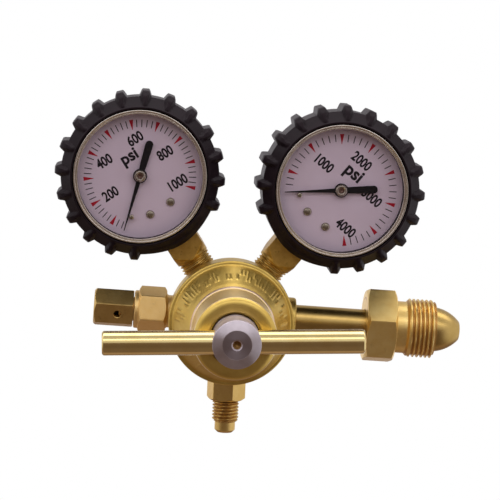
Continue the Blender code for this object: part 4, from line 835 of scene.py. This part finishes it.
def make_screw():
    outline = [
        (0.0, SCREW_TIP - 1.75), (0.7, SCREW_TIP - 1.55, 0.2), (1.95, SCREW_TIP - 0.25),
        (2.2, SCREW_TIP, 0.12), (5.8, SCREW_TIP, 0.25), (SCREW_RADIUS, SCREW_TIP - 1.35, 0.35),
        (SCREW_RADIUS, SCREW_END + 1.3), (SCREW_RADIUS - 1.3, SCREW_END), (2.8, SCREW_END),
        (1.4, SCREW_END - 1.2), (0.0, SCREW_END - 1.2),
    ]
    cut = thread_form(SCREW_PITCH, SCREW_THREAD_DEPTH, SCREW_END + 0.4, SCREW_THREAD_END, SCREW_CORE)
    mesh = lathe("screw_body", outline, 144, cut, spacing=0.2, core=SCREW_CORE)
    return dress(mesh, AXIS_FRAME, "screw_steel", "turned_steel", "adjusting_screw", body="screw")


def make_tee_bar():
    end = BAR_OFFSET + BAR_HALF
    start = BAR_OFFSET - BAR_HALF
    outline = [
        (0.0, end), (BAR_RADIUS - 0.5, end, 0.25), (BAR_RADIUS, end - 0.6, 0.6),
        (BAR_RADIUS, start + 0.6, 0.6), (BAR_RADIUS - 0.5, start, 0.25), (0.0, start),
    ]
    along = AXIS_FRAME @ shift(0.0, 0.0, BAR_STATION) @ turn(BAR_TURN) @ turn(90.0, "Y")
    mesh = lathe("tee_bar_rod", outline, 96, spacing=2.0)
    return dress(mesh, along, "bar_brass", "turned_brass", "tee_bar", body="screw")


screw = make_screw()
tee_bar = make_tee_bar()
print("screw and bar faces:", faces_of(screw, tee_bar))

# %% [markdown]
# ## Inlet nipple and nut
#
# The nipple is a brass tube with a shoulder and an acorn nose that seats in the cylinder
# valve. The nut turns freely behind that shoulder: hexagon, smooth neck and a coarse thread
# of 14 turns to the inch. All of it is lathe work, so the same outline words describe it.

# %% Inlet
NUT_START = 56.8
NUT_FLATS = 28.575
NUT_CHAMFER = 1.5
NUT_TURN = 15.3
NUT_BORE = 6.65
NUT_MOUTH_RADIUS = 9.55
NUT_MOUTH_FLOOR = 78.7
NECK_OF_NUT_RADIUS = 10.85
HEX_END = NUT_START + 12.6
THREAD_START = HEX_END + 5.7
THREAD_END = THREAD_START + 11.2
THREAD_RADIUS = 12.25
THREAD_CORE = 10.9
THREAD_PITCH = 25.4 / 14.0
NIPPLE_RADIUS = 6.35
NIPPLE_BORE = 2.6
PORT_FLOOR = 18.1
SHOULDER = 79.0
NOSE_RADIUS = 9.25
NOSE_CURVE_START = 87.0
NOSE_END = 96.9
NOSE_FLANK_RADIUS = 16.0
NOSE_FACE_RADIUS = 3.4
NOSE_EDGE_RADIUS = 0.9
NOSE_STEPS = 16


def nose_flank():
    """Points of the nose's curved flank, from its rounded edge back to the straight part."""
    edge = NOSE_EDGE_RADIUS * math.sqrt(0.5)
    tip = (NOSE_FACE_RADIUS + edge, NOSE_END - NOSE_EDGE_RADIUS + edge)
    drop = NOSE_RADIUS - tip[0]
    rise = tip[1] - NOSE_CURVE_START
    half_angle = math.asin(math.hypot(drop, rise) / 2.0 / NOSE_FLANK_RADIUS)
    lean = math.atan2(drop, rise) - half_angle
    across = NOSE_RADIUS - NOSE_FLANK_RADIUS * math.cos(lean)
    up = NOSE_CURVE_START - NOSE_FLANK_RADIUS * math.sin(lean)
    angles = np.linspace(lean + 2.0 * half_angle, lean, NOSE_STEPS)
    return [(across + NOSE_FLANK_RADIUS * math.cos(a), up + NOSE_FLANK_RADIUS * math.sin(a)) for a in angles]


def make_nipple():
    outline = [
        (NIPPLE_BORE + 0.1, NOSE_END, 0.15), (NOSE_FACE_RADIUS, NOSE_END, 0.3),
        (NOSE_FACE_RADIUS + 0.42, NOSE_END - 0.12, 0.3),
        *nose_flank(),
        (NOSE_RADIUS, SHOULDER), (NIPPLE_RADIUS, SHOULDER), (NIPPLE_RADIUS, PORT_FLOOR),
        (NIPPLE_BORE, PORT_FLOOR), (NIPPLE_BORE, NOSE_END - 4.5),
        (NIPPLE_BORE + 0.1, NOSE_END - 4.5),
    ]
    mesh = lathe("nipple_tube", outline, 128, spacing=3.0, core=5.0)
    return dress(mesh, INLET_FRAME, "turned_brass", "turned_brass", "inlet_nipple")


def make_nut():
    corner = bar_radius(6, NUT_FLATS)
    bevel = NUT_FLATS / 2.0 - 0.3
    outline = [
        (NUT_MOUTH_RADIUS, THREAD_END, 0.2), (THREAD_RADIUS - 1.1, THREAD_END, 0.2),
        (THREAD_RADIUS, THREAD_END - 1.1), (THREAD_RADIUS, THREAD_START + 0.2),
        (NECK_OF_NUT_RADIUS, THREAD_START - 1.2, 0.5), (NECK_OF_NUT_RADIUS, HEX_END, 0.5),
        (bevel, HEX_END, 0.2), (corner, HEX_END - NUT_CHAMFER), (corner, NUT_START + NUT_CHAMFER),
        (bevel, NUT_START, 0.2), (NUT_BORE, NUT_START), (NUT_BORE, NUT_MOUTH_FLOOR),
        (NUT_MOUTH_RADIUS, NUT_MOUTH_FLOOR),
    ]
    shape = several(bar_form(6, NUT_FLATS, NUT_TURN, NUT_START - 1.0, HEX_END + 0.2),
                    thread_form(THREAD_PITCH, 1.0, THREAD_START - 0.2, THREAD_END + 0.3, THREAD_CORE, 0.6))
    mesh = lathe("nut_body", outline, 216, shape, spacing=0.2, core=9.9)
    return dress(mesh, INLET_FRAME, "nut_brass_painted_light", "turned_brass", "inlet_nut", body="nut")


nipple = make_nipple()
nut = make_nut()
print("inlet faces:", faces_of(nipple, nut))

# %% [markdown]
# ## Outlet and relief valve
#
# The outlet is a small flare fitting: hexagon, thread and a 45 degree cone. The relief valve
# is two hexagons: a pale body screwed into its port and a brown cap with a vent hole in one
# flat. The hole is cut with a boolean, the one place where a form can't do the work.

# %% Outlet and relief valve
OUTLET_FLATS = 14.3
OUTLET_TURN = 13.5
OUTLET_BORE = 2.3
OUTLET_STEM = 6.7
FLARE_CORE = 4.5
FLARE_THREAD_START = 35.9
FLARE_THREAD_END = 44.9
RELIEF_FLATS = 17.4625
RELIEF_TURN = 12.7
RELIEF_HEX_START = 26.5
RELIEF_HEX_END = 38.1
RELIEF_CHAMFER = 1.2
RELIEF_NECK_RADIUS = 7.9
RELIEF_NECK_END = 39.9
RELIEF_VENT_RADIUS = 3.6
CAP_FLATS = 14.3
CAP_TURN = -13.8
CAP_START = 40.2
CAP_END = 56.6
CAP_BORE = 5.3
VENT_PLACE = 6.5
VENT_RADIUS = 1.6


def make_outlet():
    corner = bar_radius(6, OUTLET_FLATS)
    outline = [
        (OUTLET_BORE, 49.5, 0.15), (3.2, 49.5, 0.15), (4.3, 48.4, 0.2),
        (4.3, FLARE_THREAD_END, 0.3), (4.95, FLARE_THREAD_END - 0.2, 0.1), (5.55, 44.1),
        (5.55, 36.3), (FLARE_CORE, FLARE_THREAD_START, 0.2), (FLARE_CORE, 35.6),
        (OUTLET_FLATS / 2.0 - 0.3, 35.6, 0.1), (corner, 34.4), (corner, 25.4),
        (OUTLET_FLATS / 2.0 - 0.1, 24.3), (OUTLET_STEM, 24.3), (OUTLET_STEM, PORT_FLOOR),
        (OUTLET_BORE, PORT_FLOOR),
    ]
    shape = several(bar_form(6, OUTLET_FLATS, OUTLET_TURN, 24.0, 35.8),
                    thread_form(PIPE_PITCH, 0.78, FLARE_THREAD_START, FLARE_THREAD_END, FLARE_CORE, 0.5))
    mesh = lathe("outlet_body", outline, 144, shape, spacing=0.16, core=4.2)
    return dress(mesh, OUTLET_FRAME, "hex_brass", "turned_brass", "outlet_fitting")


def make_relief_body():
    corner = bar_radius(6, RELIEF_FLATS)
    bevel = RELIEF_FLATS / 2.0 - 0.3
    outline = [
        (RELIEF_VENT_RADIUS, 46.1), (5.0, 46.1), (5.0, RELIEF_NECK_END),
        (RELIEF_NECK_RADIUS, RELIEF_NECK_END, 0.8), (RELIEF_NECK_RADIUS, RELIEF_HEX_END, 0.2),
        (bevel, RELIEF_HEX_END, 0.2), (corner, RELIEF_HEX_END - RELIEF_CHAMFER),
        (corner, RELIEF_HEX_START + RELIEF_CHAMFER), (bevel, RELIEF_HEX_START, 0.2),
        (7.3, RELIEF_HEX_START, 0.2), (6.8, RELIEF_HEX_START - 0.7, 0.2), (6.7, PORT_FLOOR),
        (1.6, PORT_FLOOR), (1.6, 35.7), (RELIEF_VENT_RADIUS, 35.7),
    ]
    shape = bar_form(6, RELIEF_FLATS, RELIEF_TURN, RELIEF_HEX_START - 0.1, RELIEF_HEX_END + 0.1)
    mesh = lathe("relief_hexagon", outline, 180, shape, spacing=0.2, core=6.5)
    return dress(mesh, RELIEF_FRAME, "relief_brass", "pale_brass", "relief_body")


def make_relief_cap():
    corner = bar_radius(6, CAP_FLATS)
    outline = [
        (0.0, CAP_END), (CAP_FLATS / 2.0 - 0.5, CAP_END, 0.25), (corner, CAP_END - 1.2, 0.3),
        (corner, CAP_START + 0.5), (CAP_FLATS / 2.0 + 0.2, CAP_START, 0.2), (CAP_BORE, CAP_START),
        (CAP_BORE, 46.4), (RELIEF_VENT_RADIUS, 46.4), (RELIEF_VENT_RADIUS, CAP_END - 2.6),
        (0.0, CAP_END - 2.6),
    ]
    shape = bar_form(6, CAP_FLATS, CAP_TURN, CAP_START - 0.2, CAP_END + 0.4)
    mesh = lathe("relief_cap_body", outline, 180, shape, spacing=0.25, core=6.0)
    piece = dress(mesh, RELIEF_FRAME, "cap_brass", "dark_brass", "relief_cap")
    bit_mesh = lathe("vent_bit", [(0.0, 14.0), (VENT_RADIUS, 14.0), (VENT_RADIUS, 1.0), (0.0, 1.0)], 48)
    bit = bpy.data.objects.new("vent_bit", bit_mesh)
    drilling = RELIEF_FRAME @ shift(0.0, 0.0, CAP_START + VENT_PLACE) @ turn(CAP_TURN) @ turn(90.0, "X")
    bit.matrix_world = drilling
    bpy.context.scene.collection.objects.link(bit)
    drill = piece.modifiers.new("vent", "BOOLEAN")
    drill.operation = "DIFFERENCE"
    drill.solver = "EXACT"
    drill.object = bit
    drilled = settled(piece)
    piece.modifiers.clear()
    piece.data = drilled
    bpy.data.objects.remove(bit, do_unlink=True)
    return piece


outlet = make_outlet()
relief_body = make_relief_body()
relief_cap = make_relief_cap()
print("outlet and relief faces:", faces_of(outlet, relief_body, relief_cap))

# %% [markdown]
# ## Gauge sockets
#
# Each gauge stands on a square brass socket with a pipe thread below it. The corners of the
# square run out over a turned taper, which shows as a curved edge on each side.

# %% Gauge sockets
SOCKET_FLATS = 14.1
SOCKET_TOP = 53.05
SOCKET_BORE = 1.8
SOCKET_FOOT = 18.2
# Corners of the block behind the dial that carries the movement, seen from the gauge
BLOCK_LOW = Vector((-6.5, -24.3, -4.5)) * MM
BLOCK_HIGH = Vector((6.5, -13.8, 12.1)) * MM


def make_socket(side, clock):
    corner = bar_radius(4, SOCKET_FLATS, 1.02)
    outline = [
        (SOCKET_BORE, SOCKET_TOP), (corner, SOCKET_TOP), (corner, 33.6),
        (SOCKET_FLATS / 2.0 + 0.3, 30.0, 0.8), (6.5, 26.6, 0.4), (6.9, 25.9, 0.2),
        (6.9, SOCKET_FOOT), (SOCKET_BORE, SOCKET_FOOT),
    ]
    shape = several(bar_form(4, SOCKET_FLATS, 0.0, 29.0, 54.0),
                    thread_form(PIPE_PITCH, 0.75, 18.0, 29.2, 6.0, 0.5))
    mesh = lathe(side + "_socket_stem", outline, 160, shape, spacing=0.18, core=5.9)
    holder = bmesh.new()
    holder.from_mesh(mesh)
    into_stem = port_frame(clock).inverted() @ gauge_frame(clock)
    for vertex in bmesh.ops.create_cube(holder, size=1.0)["verts"]:
        share = vertex.co + Vector((0.5, 0.5, 0.5))
        vertex.co = into_stem @ (BLOCK_LOW + (BLOCK_HIGH - BLOCK_LOW) * share)
    holder.to_mesh(mesh)
    holder.free()
    return [dress(mesh, port_frame(clock), "dark_brass", "dark_brass", side + "_gauge_socket")]


sockets = on_both_gauges(make_socket)
print("socket faces:", faces_of(*sockets))

# %% [markdown]
# ## Boots
#
# A boot is a moulded rubber ring that takes the knocks. Its ribs are narrow at the tip and
# widest where they meet the ring, and they run on over the sloping front, getting narrower
# until they die out near the lip. One form lifts the surface by the rib's height wherever a
# point lies within the rib's width, and both change along the outline.

# %% Boots
BOOT_RADIUS = 32.4
BOOT_FRONT = 18.9
BOOT_LIP_RADIUS = 28.3
BOOT_SHOULDER = 13.2
BOOT_BACK = -10.7
BOOT_BORE = 26.6
BOOT_MOUTH_RADIUS = 27.65
BOOT_BACK_OPENING = 22.0
RIB_HEIGHT = 2.5
RIB_PLACES = 20
RIB_MISSING = 3
RIB_FLANK = 1.05
SWELL = 0.7
SWELL_REACH = math.radians(30.0)


def rib_form(angle, radius, height):
    """Ribs of the boot, left out beside the stem, where the ring swells a little instead."""
    place_angle = 2.0 * math.pi / RIB_PLACES
    # Clock angle from straight down, where the stem is; the ribs sit on whole places of it
    clock = (angle + math.pi / 2.0 + math.pi) % (2.0 * math.pi) - math.pi
    nearest = np.round(clock / place_angle)
    aside = np.abs(clock - nearest * place_angle) * BOOT_RADIUS
    missing = np.abs(nearest) < (RIB_MISSING + 1) / 2
    outside = np.clip((radius - BOOT_LIP_RADIUS) / (BOOT_RADIUS - BOOT_LIP_RADIUS), 0.0, 1.0)
    front = np.clip((BOOT_FRONT - 0.7 - height) / 3.6, 0.0, 1.0)
    back = np.clip((height - BOOT_BACK - 0.3) / 3.4, 0.0, 1.0)
    tall = RIB_HEIGHT * np.sqrt(np.minimum(front, back) * (outside > 0.02))
    half_base = 1.3 + 1.2 * np.clip((BOOT_FRONT - 0.5 - height) / 5.5, 0.0, 1.0)
    lift = np.where(missing, 0.0, tall * np.clip((half_base - aside) / RIB_FLANK, 0.0, 1.0))
    bulge = 0.5 + 0.5 * np.cos(np.clip(clock / SWELL_REACH, -1.0, 1.0) * math.pi)
    on_slope = np.clip((height - BOOT_SHOULDER + 1.5) / 3.0, 0.0, 1.0)
    outward = lift * (1.0 - 0.35 * on_slope) + SWELL * bulge * (outside > 0.5)
    return radius + outward, height + lift * 0.45 * on_slope


def make_boot(side, clock):
    outline = [
        (BOOT_MOUTH_RADIUS, BOOT_FRONT, 0.25), (BOOT_LIP_RADIUS, BOOT_FRONT, 0.3),
        (BOOT_LIP_RADIUS + 0.4, BOOT_FRONT - 0.6, 0.3), (BOOT_RADIUS, BOOT_SHOULDER, 1.6),
        (BOOT_RADIUS, BOOT_BACK + 3.5, 1.2), (BOOT_RADIUS - 1.75, BOOT_BACK, 1.0),
        (BOOT_BACK_OPENING, BOOT_BACK, 0.4), (BOOT_BACK_OPENING, BOOT_BACK + 1.0),
        (BOOT_BORE, BOOT_BACK + 1.0), (BOOT_BORE, BOOT_SHOULDER),
        (BOOT_MOUTH_RADIUS, BOOT_SHOULDER),
    ]
    mesh = lathe(side + "_boot_ring", outline, 480, rib_form, spacing=0.45, core=BOOT_LIP_RADIUS)
    # The ribs are turned to the stem in the mesh, so that the piece's own box stays square to the world
    mesh.transform(turn(-clock))
    upright = Matrix.Translation(gauge_frame(clock).translation) @ AXIS_FRAME
    return [dress(mesh, upright, "black_rubber", "black_rubber", side + "_gauge_boot")]


boots = on_both_gauges(make_boot)
print("boot faces:", faces_of(*boots))

# %% [markdown]
# ## Cases, bezels and lenses
#
# The case is a drawn steel cup and the bezel a rolled steel ring snapped over it, with the
# lens trapped between them. The bezel's front has a low inner step, a groove and a rounded
# outer step, which draw thin bright lines around the dial.

# %% Cases, bezels and lenses
CASE_RADIUS = 26.3
CASE_BORE = CASE_RADIUS - 0.7
CASE_BACK = -9.3
CASE_FRONT = 15.6
BEZEL_RADIUS = 27.4
BEZEL_OPENING = 25.4
BEZEL_BORE = CASE_RADIUS + 0.3
BEZEL_BACK = 13.6
BEZEL_FRONT = 18.6
LENS_RADIUS = BEZEL_OPENING + 0.4
LENS_BACK = 15.9
LENS_FRONT = 17.4
# Name of the piece, its facets, its spacing, its finish, the end of its node's name, its outline
HOUSING = (
    ("_case_cup", 160, 2.0, "case_steel", "_gauge_case", (
        (0.0, CASE_BACK + 0.7), (CASE_BORE, CASE_BACK + 0.7, 0.5), (CASE_BORE, CASE_FRONT),
        (CASE_RADIUS, CASE_FRONT, 0.2), (CASE_RADIUS, CASE_BACK, 1.4), (17.0, CASE_BACK, 0.6),
        (16.4, CASE_BACK + 0.35, 0.6), (0.0, CASE_BACK + 0.35))),
    ("_bezel_ring", 180, None, "bezel_steel", "_gauge_bezel", (
        (BEZEL_OPENING, 17.85, 0.15), (BEZEL_OPENING + 0.15, 18.2, 0.2), (BEZEL_OPENING + 0.65, 18.2, 0.2),
        (BEZEL_OPENING + 0.85, 17.95, 0.12), (BEZEL_OPENING + 1.05, BEZEL_FRONT, 0.3),
        (BEZEL_RADIUS - 0.3, BEZEL_FRONT, 0.45), (BEZEL_RADIUS, BEZEL_FRONT - 0.6, 0.4),
        (BEZEL_RADIUS, BEZEL_BACK, 0.15), (BEZEL_BORE, BEZEL_BACK, 0.1), (BEZEL_BORE, 17.7),
        (BEZEL_OPENING, 17.6, 0.1))),
    ("_lens_disc", 120, None, "clear_lens", "_gauge_lens", (
        (0.0, LENS_FRONT), (LENS_RADIUS, LENS_FRONT, 0.1), (LENS_RADIUS, LENS_BACK, 0.1), (0.0, LENS_BACK))),
)


def make_housing(side, clock):
    """Case, bezel and lens of one gauge."""
    pieces = []
    for name, facets, spacing, finish, node, outline in HOUSING:
        mesh = lathe(side + name, outline, facets, spacing=spacing)
        pieces.append(dress(mesh, gauge_frame(clock), finish, finish, side + node))
    return pieces


cases = on_both_gauges(make_housing)
print("case, bezel and lens faces:", faces_of(*cases))

# %% [markdown]
# ## Dials
#
# The scale runs over 280 degrees of the dial. A red wedge marks each main step, with four
# black ticks between, and the ticks stop short of zero, as a bourdon gauge isn't true there.
# The print is a thin mesh a few hundredths of a millimetre above the enamel. Numbers are
# text objects turned into meshes and squeezed, as a condensed bold face would be.

# %% Dials
DIAL_FACE = 12.9
DIAL_BACK = DIAL_FACE - 0.5
DIAL_RADIUS = 25.5
PRINT_HEIGHT = DIAL_FACE + 0.03
SCALE_RADIUS = 23.1
WEDGE_LENGTH = 4.2
WEDGE_WIDTHS = (1.7, 0.15)
TICK_LENGTH = 3.2
TICK_WIDTHS = (0.36, 0.36)
TICKS_IN_STEP = 5
# Zero and main step in degrees from straight up, shares of the first step that have a tick,
# and each number or unit with its place across and up from the dial's centre
SCALES = {
    "delivery": {"zero": -145.3, "step": 28.0, "steps": 10, "partial": (0.6, 0.8),
                 "labels": (("200", -14.2, -0.1), ("400", -9.3, 12.5), ("600", 6.3, 13.75),
                            ("800", 13.55, 2.35), ("1000", 11.35, -10.65)), "unit": (6.9, 0.35, 9.0)},
    "cylinder": {"zero": -144.9, "step": 35.1, "steps": 8, "partial": (0.6, 0.8),
                 "labels": (("1000", -12.7, 3.7), ("2000", -1.3, 14.35), ("3000", 11.7, 5.65),
                            ("4000", 11.6, -10.8)), "unit": (7.5, -0.45, 8.8)},
}
NUMBER_SIZE = 5.8
NUMBER_SQUEEZE = 0.77
UNIT_SQUEEZE = 0.98
LETTER_BOLDNESS = 0.032


def on_dial(radius, degrees):
    """Point on the dial at a clock angle from straight up."""
    clock = math.radians(degrees)
    return np.array((radius * math.sin(clock), radius * math.cos(clock)))


def radial_mark(degrees, outer, inner, widths):
    """Outline of a mark from an outer to an inner radius, with a width at each end."""
    along = on_dial(1.0, degrees)
    side = np.array((along[1], -along[0]))
    at_outer = side * widths[0] / 2.0
    at_inner = side * widths[1] / 2.0
    return (along * outer - at_outer, along * outer + at_outer,
            along * inner + at_inner, along * inner - at_inner)


def sheet(name, outlines, height):
    """Mesh of one flat face for each outline, all at one height and facing the reader."""
    cut = bmesh.new()
    for outline in outlines:
        cut.faces.new([cut.verts.new((x * MM, y * MM, height * MM)) for x, y in outline])
    cut.normal_update()
    bmesh.ops.reverse_faces(cut, faces=[face for face in cut.faces if face.normal.z < 0.0])
    mesh = bpy.data.meshes.new(name)
    cut.to_mesh(mesh)
    cut.free()
    return mesh


def text_piece(name, words, size, squeeze, across, up, place):
    """Bold condensed number or unit, printed on the dial."""
    letters = bpy.data.curves.new(name, "FONT")
    letters.body = words
    letters.size = size * MM
    letters.align_x = "CENTER"
    letters.align_y = "CENTER"
    letters.offset = LETTER_BOLDNESS * size * MM
    letters.resolution_u = 3
    drawn = bpy.data.objects.new(name + "_drawn", letters)
    bpy.context.scene.collection.objects.link(drawn)
    mesh = settled(drawn)
    bpy.data.objects.remove(drawn, do_unlink=True)
    mesh.name = name
    mesh.transform(shift(across, up, PRINT_HEIGHT) @ Matrix.Diagonal((squeeze, 1.0, 1.0, 1.0)))
    mesh.materials.clear()
    return dress(mesh, place, "dial_black", "dial_white")


def make_dial(side, clock):
    """Enamel disc with its scale, numbers and unit."""
    scale = SCALES[side]
    here = gauge_frame(clock)
    disc = lathe(side + "_dial_disc", [(0.0, DIAL_FACE), (DIAL_RADIUS, DIAL_FACE, 0.1),
                                       (DIAL_RADIUS, DIAL_BACK), (0.0, DIAL_BACK)], 160, spacing=4.0)
    pieces = [dress(disc, here, "dial_white", "dial_white", side + "_gauge_dial")]
    wedges = []
    ticks = []
    for step in range(1, scale["steps"] + 1):
        place = scale["zero"] + step * scale["step"]
        wedges.append(radial_mark(place, SCALE_RADIUS, SCALE_RADIUS - WEDGE_LENGTH, WEDGE_WIDTHS))
        if step < scale["steps"]:
            ticks += [place + scale["step"] * part / TICKS_IN_STEP for part in range(1, TICKS_IN_STEP)]
    ticks += [scale["zero"] + scale["step"] * share for share in scale["partial"]]
    tick_ends = (SCALE_RADIUS - 0.15, SCALE_RADIUS - TICK_LENGTH)
    marks = [radial_mark(place, *tick_ends, TICK_WIDTHS) for place in ticks]
    for name, outlines, ink in (("_dial_wedges", wedges, "dial_red"), ("_dial_ticks", marks, "dial_black")):
        pieces.append(dress(sheet(side + name, outlines, PRINT_HEIGHT), here, ink, "dial_white"))
    for number, (words, across, up) in enumerate(scale["labels"], start=1):
        pieces.append(text_piece("%s_dial_number_%d" % (side, number), words, NUMBER_SIZE, NUMBER_SQUEEZE,
                                 across, up, here))
    size, across, up = scale["unit"]
    pieces.append(text_piece(side + "_dial_unit", "psi", size, UNIT_SQUEEZE, across, up, here))
    return pieces


dials = on_both_gauges(make_dial)
print("dial pieces:", len(dials), "faces:", faces_of(*dials))

# %% [markdown]
# ## Pointers and small brass
#
# The pointer is black sheet with a fine needle and a broad tail that balances it, on a
# plated hub. Two pan-head screws hold the dial, and a pin below zero stops the needle. Each
# pointer rides on its own body, so that it turns with the gauge's movement.

# %% Pointers and small brass
POINTER_STATION = 14.0
POINTER_THICKNESS = 0.4
POINTER_REST = -131.7
# Half widths of the needle from its tip to its tail, and the round end of the tail
NEEDLE_HALF = [(0.18, 23.3), (0.6, 10.0), (1.0, 0.0), (1.4, -5.0)]
TAIL_RADIUS = 1.6
TAIL_CENTRE = -13.4
TAIL_EDGE = 0.3
HUB_OUTLINE = ((0.0, 15.0), (2.6, 15.0, 0.3), (2.9, 14.75, 0.2), (2.9, 14.0), (0.0, 14.0))
HUB_CAP_OUTLINE = ((0.0, 15.2), (0.35, 15.25, 0.1), (0.55, 15.45, 0.1), (1.25, 15.4, 0.2), (1.55, 15.75, 0.2),
                   (1.95, 15.75, 0.35), (2.45, 15.2, 0.2), (2.45, 14.95), (0.0, 14.95))
DIAL_SCREW_OUTLINE = (
    (0.0, DIAL_FACE + 1.05), (0.35, DIAL_FACE + 1.03, 0.1), (1.25, DIAL_FACE + 0.9, 0.5),
    (2.0, DIAL_FACE + 0.1, 0.2), (0.7, DIAL_FACE + 0.04), (0.7, DIAL_BACK), (0.0, DIAL_BACK))
STOP_PIN_OUTLINE = (
    (0.0, DIAL_FACE + 2.1), (0.98, DIAL_FACE + 2.1, 0.55), (0.98, DIAL_FACE + 0.05),
    (0.6, DIAL_FACE + 0.03), (0.6, DIAL_BACK), (0.0, DIAL_BACK))
# Name of the piece, its node's name, its facets, its outline, its radius and its clock angle on the dial
SMALL_BRASS = (
    ("_dial_screw_head_1", "_gauge_dial_screw_1", 48, DIAL_SCREW_OUTLINE, 16.4, 162.7),
    ("_dial_screw_head_2", "_gauge_dial_screw_2", 48, DIAL_SCREW_OUTLINE, 16.4, 197.3),
    ("_stop_pin_rod", "_gauge_stop_pin", 32, STOP_PIN_OUTLINE, 17.2, -136.4),
)


def make_pointer(side, clock):
    """Needle with its tail, cut from sheet and bevelled, and the two parts of its hub."""
    body = side + "_pointer"
    around = np.linspace(TAIL_EDGE, math.pi - TAIL_EDGE, 9)
    half = NEEDLE_HALF + [(TAIL_RADIUS, TAIL_CENTRE)]
    tail = [(TAIL_RADIUS * math.cos(a), TAIL_CENTRE - TAIL_RADIUS * math.sin(a)) for a in around]
    mesh = sheet(body + "_needle", [half + tail + [(-x, y) for x, y in reversed(half)]], POINTER_STATION)
    here = gauge_frame(clock) @ turn(-POINTER_REST)
    needle = dress(mesh, here, "pointer_black", "pointer_black", side + "_gauge_pointer", body=body)
    thick = needle.modifiers.new("sheet", "SOLIDIFY")
    thick.thickness = POINTER_THICKNESS * MM
    thick.offset = 1.0
    edge = needle.modifiers.new("edge", "BEVEL")
    edge.width = 0.08 * MM
    edge.segments = 2
    edge.limit_method = "ANGLE"
    hub = lathe(body + "_hub", HUB_OUTLINE, 64)
    cap = lathe(body + "_cap", HUB_CAP_OUTLINE, 64)
    return [
        needle,
        dress(hub, here, "pointer_black", "pointer_black", body=body),
        dress(cap, here, "hub_steel", "pointer_black", body=body),
    ]


def make_small_brass(side, clock):
    """The two screws that hold the dial, and the stop pin."""
    pieces = []
    for name, node, facets, outline, radius, degrees in SMALL_BRASS:
        across, up = on_dial(radius, degrees)
        mesh = lathe(side + name, outline, facets)
        place = gauge_frame(clock) @ shift(across, up, 0.0)
        pieces.append(dress(mesh, place, "plated_steel", "turned_brass", side + node))
    return pieces


pointers = on_both_gauges(make_pointer)
small_brass = on_both_gauges(make_small_brass)
print("pointer and screw faces:", faces_of(*pointers, *small_brass))

# %% [markdown]
# ## Inside
#
# The diaphragm, springs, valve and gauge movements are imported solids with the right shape
# already, so they stay as they are and only get finishes. Each node's slot names its
# material, and each slot has one finish.

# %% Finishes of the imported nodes
dressed = 0
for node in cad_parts.values():
    for node_slot in node.material_slots:
        slot_name = node_slot.material.name.split(".")[0] if node_slot.material else ""
        node_slot.material = FINISHES.get(slot_name, FINISHES["turned_brass"])
        dressed += 1
print("packed materials replaced:", dressed)
